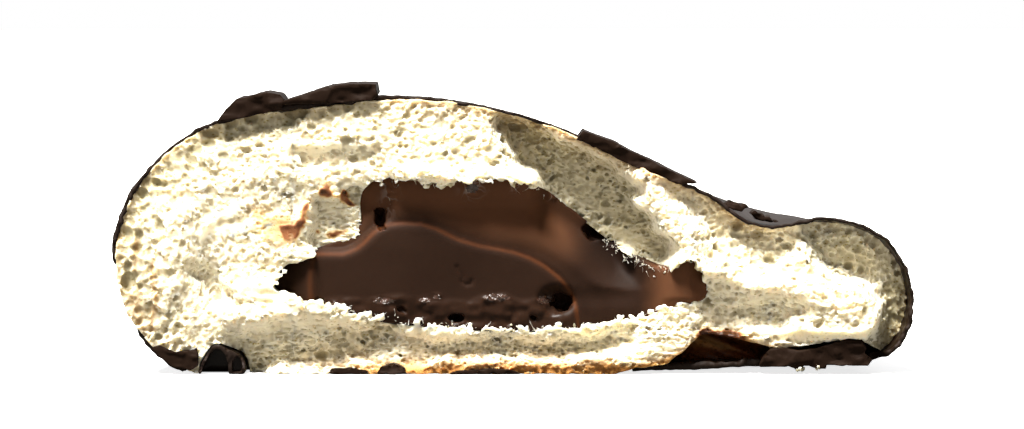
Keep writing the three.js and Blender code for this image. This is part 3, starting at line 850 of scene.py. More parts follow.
def porousField():
    step = crumb["voxel"]
    xs = np.arange(-50.6, 50.6, step)
    ys = np.arange(-2.6, crumb["back"] + 1, step)
    zs = np.arange(-0.6, 36.0, step)
    gx, gz = np.meshgrid(xs, zs, indexing="ij")
    # The layer's outside follows the coat, which closes in further back.
    skin = sample(faceMap, gx, gz) - sample(coatThickness, gx, gz) + 0.12
    drawnIn = sample(behindMap, gx, gz) - sample(faceMap, gx, gz)
    fade = bun["lipFade"]
    inward = smoothStep(0, fade, ys / bun["depth"]) / smoothStep(0, fade, behindShare)
    flat = skin[:, None, :] + drawnIn[:, None, :] * inward[None, :, None]
    flat = flat - 0.9 * smoothStep(3, 7, ys)[None, :, None]
    low = np.minimum(gz - 0.02, -sample(creaseMap, gx, gz) + 0.1)
    flat = np.minimum(flat, low[:, None, :]).astype(np.float32)
    field = np.minimum(flat, (crumb["back"] - ys)[None, :, None].astype(np.float32))
    rough = (ys[None, :, None] - relief(gx, gz)[:, None, :]).astype(np.float32)
    near = (field > -1.2) & (np.abs(rough) < 1.3)
    np.minimum(field, rough, out=field)
    ix, iy, iz = np.nonzero(near)
    x, y, z = xs[ix], ys[iy], zs[iz]
    depth = (y - crumbFront(x, y, z)).astype(np.float32)
    # Round the filling the crumb ends in a thin ragged lip that hangs over it.
    at = np.stack([x, y, z], axis=-1)
    ragged = 0.6 * noiseAt(at, (1.1, 1.5, 0.9), 6) + 0.55 * noiseAt(at, (0.4, 0.8, 0.5), 7)
    below = smoothStep(12, 8, z)
    bare = smoothStep(1.5, 4.5, relief(x, z))
    lip = (0.3 + 0.15 * below + ragged) * smoothStep(0.9 + 0.3 * ragged, 0.2, y) * (1 - bare)
    hole = -sample(creamMap, x, z) - 0.1 + np.clip(lip, 0, 2)
    wall = 0.16 * noiseAt(at, 0.8, 5)
    foot = np.where(ys[None, :, None] < crumb["footDepth"], -sample(footMap, gx, gz)[:, None, :], 9)
    field = np.minimum(field, foot.astype(np.float32))
    deepHole = -sample(creamMap, gx, gz)[:, None, :] - 0.1
    field = np.minimum(field, np.where(near, np.float32(9), deepHole.astype(np.float32)))
    flats = flat[ix, iy, iz]
    footHere = np.where(y < crumb["footDepth"], -sample(footMap, x, z), 9)
    field[ix, iy, iz] = np.minimum.reduce([
        flats + wall, crumb["back"] - y, depth, hole + 0.5 * wall, footHere
    ]).astype(np.float32)
    # Grain that makes the cells' walls uneven.
    grain = np.zeros_like(field)
    grain[ix, iy, iz] = 0.12 * noiseAt(at, 0.8, 55) + 0.07 * noiseAt(at, 0.36, 56)
    carveCells(field, grain, xs, ys, zs, crumb["openCells"], 21, openSize, (-0.1, 0.45))
    carveCells(field, grain, xs, ys, zs, crumb["fineCells"], 22, fineSize, (-0.2, 0.8))
    return field, xs, ys, zs


def crumbLength(field, xs, ys, zs, low, high):
    # One closed length of the porous layer, cut along x. Past a cut it sinks below its neighbour.
    i0, i1 = np.searchsorted(xs, (low - 3.4, high + 3.4))
    x = xs[i0:i1]
    wave = 0.6 * noiseAt(np.stack(np.meshgrid([0.0], ys, zs, indexing="ij"), axis=-1), 1.7, 8)
    beyond = np.maximum(x[:, None, None] - high - wave, low + wave - x[:, None, None])
    part = field[i0:i1] - (0.4 * smoothStep(0, 1.2, beyond)).astype(np.float32)
    np.minimum(part, (2.8 - beyond).astype(np.float32), out=part)
    vertices, quads = surfaceNet(part, x, ys, zs)
    return dropScraps(vertices, quads, 3000)


def paintCrumb(thing):
    p = points(thing)
    x, y, z = p.T
    edge = sample(faceMap, x, z) - sample(coatThickness, x, z)
    blotch = noiseAt(p, (3.0, 3.0, 1.5), 11)
    crustWidth = 0.5 + 0.3 * blotch
    top = smoothStep(-18, -8, x) * smoothStep(8, 15, z) * smoothStep(38, 28, x)
    under = smoothStep(3.0 + 1.2 * blotch, 0.3, z) * smoothStep(-32, -16, x)
    crustFall = np.exp(-np.clip(edge, 0, None) / np.clip(crustWidth + 0.4 * top, 0.2, 2))
    torn = np.exp(-np.clip(-sample(creaseMap, x, z), 0, None) / 0.4) * smoothStep(38, 32, x)
    baked = 0.75 * crustFall * (0.6 + 0.4 * top) + under + 0.8 * torn
    for *line, reach, amount in skinFolds:
        baked = np.maximum(baked, amount * nearLine(x + 0.4 * blotch, z, line, reach))
    paint(thing, "crust", np.clip(baked, 0, 1))
    behind = y - crumbBase(x, y, z)
    # Painted shade: pores darken with their depth behind the face, and shade is painted in the hollows, under
    # the lobe's right rim and along the low edge.
    shaded = 0.75 * smoothStep(1.0, 3.6, relief(x, z)) * (1 - 0.85 * smoothStep(26, 36, x))
    rightRim = smoothStep(45.5, 47.2, x + blotch) * smoothStep(12.5, 10, z)
    lowEdge = smoothStep(4.5, 2.0, z) * smoothStep(-14, -4, x) * smoothStep(20, 13, x)
    shaded = shaded + 0.8 * rightRim + 0.4 * lowEdge
    paint(thing, "deep", np.clip((behind - 0.02) / 0.8 + shaded, 0, 1))
    # A thin dark smear of chocolate hangs along the crease's upper edge.
    ragged = 0.45 * noiseAt(p, (1.4, 1.0, 0.5), 15)
    smear = smoothStep(0.75, 0.2, ragged - sample(creaseMap, x, z))
    smear = smear * smoothStep(22.6, 24.0, x) * smoothStep(31, 27.5, x) * smoothStep(2.0, 3.0, z)
    # The sole's edge is a little scorched.
    scorched = (0.26 + 0.3 * ragged) * smoothStep(2.2, 0.5, z)
    scorched = scorched * smoothStep(-20, -10, x) * smoothStep(21, 15, x)
    marks = np.clip(np.maximum(smear, scorched), 0, 1)
    paint(thing, "stain", np.maximum(stainAt(x, z) * smoothStep(2.2, 1.4, behind), marks))


field, xs, ys, zs = porousField()
print("porous layer", field.shape)
for length, low, high in zip(crumb["lengths"], crumb["cuts"], crumb["cuts"][1:]):
    vertices, quads = crumbLength(field, xs, ys, zs, low, high)
    print("crumb length", length, len(quads))
    crumbPiece = makeMesh("crumb_" + length, vertices, quads)
    thinOut(crumbPiece, crumb["mostTriangles"])
    paintCrumb(crumbPiece)
    finishPiece(crumbPiece, "crumb", crumbFinish, "bread")


def breadBody():
    # The rest of the bread behind the torn layer, smooth and baked outside.
    step = 1.0
    xs = np.arange(-51, 51.5, step)
    ys = np.concatenate([np.arange(5.4, 46, 1.2), np.arange(46.2, 53.5, 0.6)])
    zs = np.arange(-1, 37, step)
    gx, gz = np.meshgrid(xs, zs, indexing="ij")
    creamLoaf = Shrinking(filling["outline"], 200, filling["depth"], filling["centre"], filling["softening"])
    creaseLoaf = Shrinking(crease, 120, bun["depth"], bun["centre"], 2.0)
    layers = []
    for y in ys:
        share = min(y / bun["depth"], 1)
        flat = sample(distanceMap(bunLoaf.ring(share)), gx, gz) - crumb["bodyInset"]
        flat = np.minimum(flat, gz)
        flat = np.minimum(flat, -sample(distanceMap(creaseLoaf.ring(share)), gx, gz))
        creamShare = y / filling["depth"]
        if creamShare < 1:
            flat = np.minimum(flat, -sample(distanceMap(creamLoaf.ring(creamShare)), gx, gz) - 0.1)
        ends = min(y - crumb["bodyFront"], bun["depth"] - crumb["bodyEnd"] - y)
        layers.append(np.minimum(flat, ends))
    field = np.stack(layers, axis=1)
    return surfaceNet(field, xs, ys, zs)


vertices, quads = breadBody()
body = makeMesh("bread_body", vertices, quads)
thinOut(body, crumb["bodyTriangles"])
paintCrumb(body)
finishPiece(body, "crumb", crumbFinish, "bread")
print("bread ready")

# Underside of the lip, seen inside the crease.

lining = {
    "left": 16.6, "right": 34.0, "front": 1.4, "depth": 5.0, "thickness": 0.25,
    "crust": 0.7,           # how brown it is baked
    "mostTriangles": 10000,
}


def closedSheet(front, thickness):
    # A thin closed solid behind a grid of points.
    rows, columns = front.shape[:2]
    count = rows * columns
    index = np.arange(count).reshape(rows, columns)
    quads = np.stack([index[:-1, :-1], index[1:, :-1], index[1:, 1:], index[:-1, 1:]], axis=-1).reshape(-1, 4)
    loop = np.concatenate([index[:-1, 0], index[-1, :-1], index[:0:-1, -1], index[0, :0:-1]])
    after = np.roll(loop, -1)
    rim = np.stack([after, loop, loop + count, after + count], axis=-1)
    vertices = np.vstack([front.reshape(-1, 3), front.reshape(-1, 3) + (0, thickness, 0)])
    return vertices, np.vstack([quads, quads[:, ::-1] + count, rim])


def downhill(x, z):
    # Coordinates along and across folds that run down to the right.
    return np.stack([0.93 * x - 0.37 * z, 0 * x, 0.37 * x + 0.93 * z], axis=-1)


def lipUnderside():
    # The baked underside of the lip: folded skin that runs back and up into the crease.
    xs = np.linspace(lining["left"], lining["right"], 240)
    heights = np.linspace(0, 7, 141)
    hollow = sample(creaseMap, xs[:, None], heights[None, :]) > 0
    top = np.maximum(np.where(hollow, heights, 0).max(axis=1), 0.6)
    t = np.linspace(0, 1, 70)[None, :]
    x = xs[:, None] + 0 * t
    base = 0.45 + 0.6 * smoothStep(22, 31, x)
    z = base + (top[:, None] + 0.3 - base) * t
    at = downhill(x, z)
    folds = 1.1 * np.abs(noiseAt(at, (9, 1, 1.3), 71)) + 0.3 * noiseAt(at, (3, 1, 0.5), 72)
    y = lining["front"] + lining["depth"] * t**0.7 + folds
    return closedSheet(np.stack([x, y, z], axis=-1), lining["thickness"])


underside = makeMesh("lip_underside", *lipUnderside())
thinOut(underside, lining["mostTriangles"])
p = points(underside)
x, y, z = p.T
# Painted shade: the underside takes the crumb's full painted shade tone, and the stain colours darken it most
# towards its bottom and ends, less in pale streaks up its middle.
streaks = 0.75 + 0.5 * noiseAt(downhill(x, z), (7, 1, 0.7), 73)
paleUpper = 0.72 * smoothStep(0.9, 3.4, z) * smoothStep(18, 23, x) * smoothStep(34, 30, x) * streaks
paint(underside, "crust", np.full(len(p), lining["crust"]))
paint(underside, "deep", np.full(len(p), 1.0))
paint(underside, "stain", np.clip(1 - paleUpper, 0, 1))
finishPiece(underside, "crust", crumbFinish)
print("lip underside ready")

# Filling.

cream = {
    "voxel": 0.16,
    "mostTriangles": 84000,
    "softening": 2,         # rounds of smoothing
    "wetLow": 0.2,          # how wet a face is from which it glints, below wetFrom
    "wetHigh": 0.34,        # and above it
    "wetFrom": 13,
}

# Holes of the filling: x, z, half width, half height, depth, how ragged.
creamHoles = [
    (-16.5, 19.5, 0.8, 1.35, 3.2, 0.4), (10.6, 18.1, 1.9, 1.6, 3.8, 0.4), (12.4, 16.5, 1.2, 0.6, 1.6, 0.3),
    (-7.0, 7.1, 0.95, 0.6, 2.6, 0.2), (-24.1, 9.2, 0.8, 0.4, 1.2, 0.25), (6.3, 8.9, 1.5, 1.2, 2.4, 0.4),
    (-13.9, 8.0, 0.5, 0.35, 0.7, 0.3), (2.6, 7.2, 0.5, 0.3, 0.6, 0.3),
]
# Wet, crumpled spots that glint: x, z, half width, half height, relief.
wetSpots = [
    (-5.0, 23.3, 1.2, 1.0, 0.5), (-16.0, 9.2, 1.6, 0.45, 0.4), (-10.9, 9.3, 0.7, 0.4, 0.4),
    (-9.4, 9.7, 0.5, 0.35, 0.4), (-1.9, 9.6, 1.7, 0.45, 0.5), (4.1, 9.3, 1.0, 0.5, 0.5),
    (-22.0, 8.6, 1.2, 0.5, 0.4), (-15.4, 22.6, 0.9, 2.0, 0.3), (0.4, 23.4, 0.6, 0.6, 0.25),
    (5.2, 22.0, 0.6, 0.4, 0.3),
]
# A small curled mark left in the smooth front.
curlMark = [(-6.9, 13.5), (-6.6, 12.8), (-6.2, 12.2), (-6.3, 11.6), (-5.8, 11.2), (-5.1, 11.3), (-5.0, 11.8)]


def smoothLine(points, count):
    # An open smooth curve through the points.
    p = np.array(points, float)
    t = np.arange(len(p))
    fine = np.linspace(0, len(p) - 1, count)
    blur = np.exp(-(((fine[:, None] - t[None, :]) / 0.55) ** 2))
    blur /= blur.sum(axis=1, keepdims=True)
    return blur @ p


curlLine = smoothLine(curlMark, 40)
crestLine = smoothLine(filling["crest"], 300)
crestGrid = np.arange(-32, 26, 0.15), np.arange(3, 27, 0.15)
frontMass = np.vstack([crestLine, [(9.0, -20), (-45, -20), (-45, 9)]])
crestMap = -distanceMap(frontMass, crestGrid)


def overCrest(x, z):
    # Distance above the front mass's upper edge.
    return sample(crestMap, x, z, crestGrid)


def wetAt(x, z):
    wet = np.zeros(np.shape(x))
    for cx, cz, rx, rz, amount in wetSpots:
        wet = np.maximum(wet, amount * np.exp(-(((x - cx) / rx) ** 2) - ((z - cz) / rz) ** 2))
    return wet


def darkFold(x, z, edge):
    # The deep fold under the right-hand hollow of the crumb.
    return smoothStep(5.6, 0.8, edge) * smoothStep(1.5, 6, x) * smoothStep(18, 12.5, x) * smoothStep(8, 13, z)


def raggedFoot(at):
    # The band along the front mass's foot, where it was pulled off in shreds.
    x, z = at[..., 0], at[..., 2]
    return smoothStep(10.1, 8.9, z + 0.5 * noiseAt(at, (3, 3, 3), 35)) * smoothStep(8.2, 5.5, x)


def creamFront(x, y, z):
    # How far back the cream's face lies.
    at = np.stack([x, y, z], axis=-1)
    over = overCrest(x, z)
    # The back mass is a shallow bowl that runs forward, down to the right.
    edge = sample(creamMap, x, z)
    sweep = smoothStep(2, 15, x + 0.8 * (13 - z))
    turn = np.hypot(x + 2.0, (z - 3.5) * 1.15)
    swirl = 0.1 * np.sin(turn * 0.95 + 0.8) + 0.04 * np.sin(turn * 2.3)
    back = 1.1 + 1.15 * smoothStep(0, 7, over) * (1 - sweep) + swirl * smoothStep(-4, 4, x)
    back = back + 0.9 * smoothStep(-14.0, -16.8, x)
    back = back + 0.5 * noiseAt(at, (8, 9, 5), 31) - 0.8 * smoothStep(20.5, 24, z) * smoothStep(6, 2, x)
    dark = darkFold(x, z, edge)
    back = back + 2.6 * dark
    # The front mass is nearly flat and rolls back at its upper edge.
    front = filling["front"] - 0.25 + 0.22 * noiseAt(at, (8, 7, 5), 32)
    front = front + 1.7 * smoothStep(-25.0, -29.6, x) - 0.3 * np.exp(-(((x + 25.2) / 0.9) ** 2))
    bevel = np.clip((over + 1.15) / 1.15, 0, 1)
    front = front + 0.4 * bevel**2
    hollow = ((x - 5.7) / 2.1) ** 2 + ((z - 9.2) / 1.7) ** 2
    front = front + 1.5 * np.exp(-(hollow**2))
    y0 = front + (back - front) * smoothStep(-0.05, 0.7, over)
    # The pulled end of the filling stands forward as a blunt wedge.
    wedge = smoothStep(16.2, 20.4, x - 0.25 * (z - 11)) * smoothStep(8.0, 9.8, z)
    lean = x - 21.9 - 0.1 * (15 - z)
    side = np.where(lean > 0, 0.55 * lean, -0.34 * lean)
    y0 = y0 * (1 - wedge) + wedge * (-0.9 + side + 0.12 * np.clip(15 - z, 0, 9) * 0.5)
    ragged = raggedFoot(at) * smoothStep(-26, -20, x)
    lumps = 0.27 * noiseAt(at, (1.7, 1.2, 1.0), 33) + 0.17 * noiseAt(at, 0.7, 34)
    y0 = y0 + ragged * (lumps - 0.28)
    wet = wetAt(x, z)
    y0 = y0 + wet * (0.75 * noiseAt(at, (0.6, 0.5, 0.32), 36) - 0.45)
    away = np.full(np.shape(x), 9.0)
    for cx, cz in curlLine:
        away = np.minimum(away, (x - cx) ** 2 + (z - cz) ** 2)
    return y0 + 0.16 * np.exp(-away / 0.05)


def creamSkin():
    step = cream["voxel"]
    xs = np.arange(-31, 25.4, step)
    ys = np.concatenate([np.arange(-1.9, 8.2, step), np.arange(8.6, 34.4, 1.2)])
    zs = np.arange(4.4, 25.8, step)
    gx, gz = np.meshgrid(xs, zs, indexing="ij")
    loaf = Shrinking(filling["outline"], 200, filling["depth"], filling["centre"], filling["softening"])
    layers = []
    slices = {}
    for y in ys:
        share = round(max(y, 0) / filling["depth"] * 40) / 40
        if share not in slices:
            slices[share] = sample(distanceMap(loaf.ring(min(share, 0.999))), gx, gz)
        layers.append(np.minimum(slices[share] + 0.35 * smoothStep(0.4, 1.4, y), filling["depth"] - y))
    field = np.stack(layers, axis=1).astype(np.float32)
    near = (field > -0.8) & (ys < 8.3)[None, :, None]
    ix, iy, iz = np.nonzero(near)
    x, y, z = xs[ix], ys[iy], zs[iz]
    front = creamFront(x, y, z)
    depth = y - front
    for cx, cz, rx, rz, deep, ragged in creamHoles:
        close = (np.abs(x - cx) < rx * 2) & (np.abs(z - cz) < rz * 2)
        px, py, pz = x[close], y[close], z[close]
        start = creamFront(np.array([cx]), np.array([1.0]), np.array([cz]))[0]
        far = ((px - cx) / rx) ** 2 + ((pz - cz) / rz) ** 2 + ((py - start) / deep) ** 2
        shape = (np.sqrt(far) - 1) * min(rx, rz)
        shape += ragged * noiseAt(np.stack([px, py, pz], axis=-1), 0.8, 37)
        depth[close] = np.minimum(depth[close], shape)
    field[ix, iy, iz] = np.minimum(field[ix, iy, iz], depth)
    vertices, quads = surfaceNet(field, xs, ys, zs)
    return dropScraps(vertices, quads, 4000)


vertices, quads = creamSkin()
print("cream", len(vertices))
creamPiece = makeMesh("chocolate_cream", vertices, quads)
soften = creamPiece.modifiers.new("soften", "SMOOTH")
soften.iterations = cream["softening"]
soften.factor = 0.5
applyModifiers(creamPiece)
thinOut(creamPiece, cream["mostTriangles"])
p = points(creamPiece)
x, y, z = p.T
over = overCrest(x, z)
# Painted highlight: the lighter rim colour along the front mass's upper edge and round its left end.
bright = np.exp(-(((over + 0.18) / 0.27) ** 2)) * smoothStep(-26, -24.5, x) * smoothStep(8.6, 8.2, x)
endLine = -24.5 - 0.8 * np.clip(1 - ((z - 11.4) / 3.8) ** 2, 0, 1)
leftEnd = 0.55 * np.exp(-(((x - endLine) / 0.4) ** 2)) * smoothStep(15.4, 14.6, z)
paint(creamPiece, "rim", np.maximum(bright, leftEnd))
# Painted shade: darker in the fold under the crumb's right-hand hollow, in a patch round x 5.5, z 17, where
# the key light falls on the back mass, and towards the left tip.
foldShade = 0.4 * np.exp(-(((x - 5.5) / 3.2) ** 2) - ((z - 17.0) / 3.6) ** 2)
paintedShade = np.maximum(0.5 * darkFold(x, z, sample(creamMap, x, z)), foldShade)
lit = smoothStep(1, 9, x + 0.8 * (13 - z)) * smoothStep(19.5, 15.5, x)
paintedShade = (paintedShade + 0.3 * lit) * smoothStep(-0.1, 1.2, over)
paint(creamPiece, "paintedShade", paintedShade + 0.2 * smoothStep(-25, -28, x))
# Painted light: the back mass takes the lighter cream colour, except where the key light falls on it.
paint(creamPiece, "back", smoothStep(-0.3, 3.5, over) * (1 - 0.97 * lit))
paint(creamPiece, "rough", np.clip(0.6 * raggedFoot(p) + 2.4 * wetAt(x, z), 0, 1))
# Painted highlight: pale glint streaks on the wet spots of the upper part.
paint(creamPiece, "paintedGlint", np.clip(1.6 * wetAt(x, z), 0, 0.8) * smoothStep(13, 15, z))
finishPiece(creamPiece, "cream", creamFinish, "cream_filling")
creamPiece.data.materials.append(wetFinish)
wetFace = [
    wetAt(c[0], c[2]) > cream["wetLow" if c[2] < cream["wetFrom"] else "wetHigh"] and c[1] < 6
    for c in (np.array(f.center) / metre - shift for f in creamPiece.data.polygons)
]
creamPiece.data.polygons.foreach_set("material_index", np.array(wetFace, np.int32))

# Chocolate coat.

coat = {"around": 900, "along": 76, "hem": 0.3, "mostTriangles": 70000}


def coatShell():
    loaf = Shrinking(bun["outline"], coat["around"], bun["depth"], bun["centre"], bun["softening"])
    rows = np.linspace(0, 1, coat["along"]) ** 1.5 * math.pi / 2
    shares = np.clip(np.sin(rows) ** 0.9, 0, 1 - 1e-9)
    grid = np.stack([
        np.column_stack([
            loaf.ring(s)[:, 0], np.full(coat["around"], s * bun["depth"]), loaf.ring(s)[:, 1]
        ]) for s in shares
    ])
    # The broken edge stands back from the torn face here and there, with small jags.
    x, z = grid[0, :, 0], grid[0, :, 2]
    rim = np.column_stack([x, x * 0, z])
    jag = 0.35 * noiseAt(rim, 2.2, 41) + 0.3 * noiseAt(rim, 0.8, 42) + 0.15 * noiseAt(rim, 0.35, 45)
    back = sample(coatBack, x, z) + jag
    fall = np.clip(1 - grid[:, :, 1] / 9, 0, 1) ** 2
    grid[:, :, 1] += fall * back[None, :]
    around = np.roll(grid, -1, axis=1) - np.roll(grid, 1, axis=1)
    along = np.gradient(grid, axis=0)
    normal = np.cross(around, along)
    normal /= np.linalg.norm(normal, axis=2, keepdims=True) + 1e-9
    middle = np.array([bun["centre"][0], 20, bun["centre"][1]])
    if np.einsum("ijk,ijk->ij", normal, grid - middle).mean() < 0:
        normal = -normal
    calm = smoothStep(0, 7, grid[:, :, 1])
    close = 1 - smoothStep(0, 2.5, grid[:, :, 1])
    swell = 0.28 * noiseAt(grid, 11, 43) + 0.12 * noiseAt(grid, 4, 44) + 0.04 * noiseAt(grid, 1.5, 47)
    swell = calm * swell
    teeth = np.abs(noiseAt(grid, (2.6, 4, 2.6), 46)) + 0.5 * noiseAt(grid, (0.6, 1.5, 0.6), 48)
    outer = grid + normal * (swell - 0.15 * calm + 0.26 * close * teeth)[..., None]
    thick = sample(coatThickness, grid[:, :, 0], grid[:, :, 2])
    thick = thick * (1 + 0.35 * noiseAt(grid, (2.0, 2.0, 2.0), 49) + 0.3 * noiseAt(grid, 0.7, 50))
    thick = np.clip(thick, 0.22, 1.3)
    thick = thick + (0.8 - thick) * smoothStep(1, 8, grid[:, :, 1])
    inner = outer - normal * thick[..., None]
    return outer, inner


def coatFaces(outer, inner):
    # Joins the outer and inner grids into one closed shell above the hem.
    rows, columns = outer.shape[:2]
    count = rows * columns
    index = np.arange(count).reshape(rows, columns)
    right = np.roll(index, -1, axis=1)
    quads = np.stack([index[:-1], right[:-1], right[1:], index[1:]], axis=-1).reshape(-1, 4)
    high = outer[..., 2].ravel()
    quads = quads[(high[quads] > coat["hem"]).any(axis=-1)]
    top = outer.reshape(-1, 3).copy()
    low = inner.reshape(-1, 3).copy()
    for sheet in (top, low):
        sheet[:, 2] = np.maximum(sheet[:, 2], coat["hem"])
    ways = np.vstack([quads[:, [k, (k + 1) % 4]] for k in range(4)])
    key = ways[:, 0].astype(np.int64) * count + ways[:, 1]
    back = ways[:, 1].astype(np.int64) * count + ways[:, 0]
    border = ways[~np.isin(key, back)]
    rim = np.stack([border[:, 1], border[:, 0], border[:, 0] + count, border[:, 1] + count], axis=-1)
    faces = np.vstack([quads, quads[:, ::-1] + count, rim])
    vertices = np.vstack([top, low])
    used = np.unique(faces)
    renumber = np.full(len(vertices), -1)
    renumber[used] = np.arange(len(used))
    return vertices[used], renumber[faces]


outer, inner = coatShell()
vertices, faces = coatFaces(outer, inner)
coatPiece = makeMesh("chocolate_coat", vertices, faces)
thinOut(coatPiece, coat["mostTriangles"])
p = points(coatPiece)
paint(coatPiece, "broken", smoothStep(0.9, 0.2, p[:, 1] - sample(coatBack, p[:, 0], p[:, 2])))
finishPiece(coatPiece, "chocolate", chocolateFinish, "chocolate_coating")
print("coat ready", len(faces))

# Broken plates of the coat.

plates = {
    "shard_top_left": {
        "node": "shard_top_left", "start": -0.9, "length": 12,
        "outline": [(-36.9, 31.6), (-35.6, 33.4), (-34.4, 34.5), (-32.6, 34.9), (-30.6, 35.4),
                    (-28.9, 35.0), (-28.3, 34.2), (-28.9, 33.2), (-34.4, 32.0)],
    },
    "shard_top_middle": {
        "node": "shard_top_middle", "start": -1.0, "length": 14,
        "outline": [(-29.6, 33.8), (-27.4, 34.6), (-25.0, 35.4), (-22.8, 36.1), (-20.2, 36.4), (-17.0, 36.35),
                    (-16.8, 35.0), (-17.4, 34.4), (-24, 33.9)],
    },
    "shard_on_slope": {
        "node": "shard_on_slope", "start": -0.6, "length": 10,
        "outline": [(8.0, 29.4), (8.9, 30.6), (10.6, 29.9), (12.4, 29.3), (14.8, 28.0), (17.4, 26.8),
                    (19.8, 25.6), (23.4, 23.9), (20.5, 23.9), (14.0, 26.6), (9.4, 29.0)],
    },
    "flake_in_dip_a": {
        "node": "flake_in_dip_1", "start": 0.4, "length": 3.4,
        "outline": [(26.6, 21.3), (27.3, 21.8), (28.4, 21.4), (29.3, 21.3), (29.8, 20.9), (29.1, 20.7),
                    (28.8, 20.3), (27.2, 20.7)],
    },
    "flake_in_dip_b": {
        "node": "flake_in_dip_2", "start": 1.2, "length": 3.4,
        "outline": [(29.9, 20.1), (30.4, 20.5), (30.9, 20.1), (31.4, 20.2), (31.7, 19.7), (32.3, 19.8),
                    (32.6, 19.3), (33.6, 19.1), (32.6, 18.9), (30.6, 19.3)],
    },
    "plate_beneath_lip": {
        "node": "plate_under_lip", "start": -0.7, "length": 9,
        "outline": [(30.9, 0.9), (31.4, 2.2), (32.4, 3.3), (34.1, 3.4), (35.9, 3.0), (38.2, 3.3), (40.1, 3.9),
                    (41.9, 4.4), (43.8, 4.5), (44.1, 3.6), (44.4, 3.3), (44.1, 2.7), (45.1, 1.8),
                    (44.6, 1.1), (41.2, 1.1), (39.4, 1.3), (39.3, 0.7), (37.8, 0.8), (36.8, 1.3), (35.7, 0.6),
                    (34.5, 1.1)],
    },
    "chunk_beside_foot": {
        "node": "chunk_at_foot", "start": -0.6, "length": 5,
        "outline": [(-45.1, 3.3), (-44.2, 3.7), (-42.4, 2.9), (-40.6, 3.0), (-39.4, 3.4), (-39.2, 1.1),
                    (-40.2, 0.5), (-42.4, 0.9), (-44.0, 2.1)],
    },
    "curl_beside_foot": {
        "node": "curl_at_foot", "start": -0.5, "length": 7,
        "hollow": [(-39.0, 0.0), (-38.5, 1.3), (-37.9, 2.5), (-37.2, 3.2), (-36.5, 3.2), (-35.9, 2.6),
                   (-35.55, 1.4), (-35.5, 0.0)],
        "cup": [(-35.0, 0.3), (-35.0, 1.6), (-34.5, 2.3), (-34.0, 2.0), (-33.7, 1.0), (-33.9, 0.35)],
        "outline": [(-39.3, 0.0), (-38.9, 1.3), (-38.2, 2.6), (-37.4, 3.6), (-36.6, 3.72), (-35.6, 3.2),
                    (-34.9, 2.95), (-34.1, 2.6), (-33.5, 1.6), (-33.3, 0.6), (-33.6, 0.0)],
    },
    # Thin patches of chocolate left on the sole, seen along the bottom edge.
    "sole_patch_a": {
        "start": -0.9, "length": 3.0,
        "outline": [(-23.2, 0.0), (-22.6, 0.7), (-20.4, 0.9), (-18.2, 0.5), (-17.8, 0.0)],
    },
    "sole_patch_b": {
        "start": -1.0, "length": 3.4,
        "outline": [(-17.0, 0.0), (-16.4, 1.0), (-14.8, 1.4), (-13.4, 0.8), (-13.0, 0.0)],
    },
    "sole_patch_c": {
        "start": -0.9, "length": 3.6,
        "outline": [(-8.2, 0.0), (-7.0, 0.5), (-3.6, 0.75), (-0.4, 0.6), (1.6, 0.0)],
    },
}
plateMaking = {
    "voxel": 0.15,
    "chips": 14,            # bits broken out of each plate's edge
    "creaseAngle": 34,      # edges sharper than this stay sharp, in degrees
    "mostTriangles": 6000,
}


def sharpOutline(corners, spacing=0.3):
    # Straight runs between the corners, as close points.
    ring = []
    for a, b in zip(corners, corners[1:] + corners[:1]):
        a, b = np.array(a, float), np.array(b, float)
        steps = max(int(np.linalg.norm(b - a) / spacing), 1)
        ring += [a + (b - a) * k / steps for k in range(steps)]
    return np.array(ring)


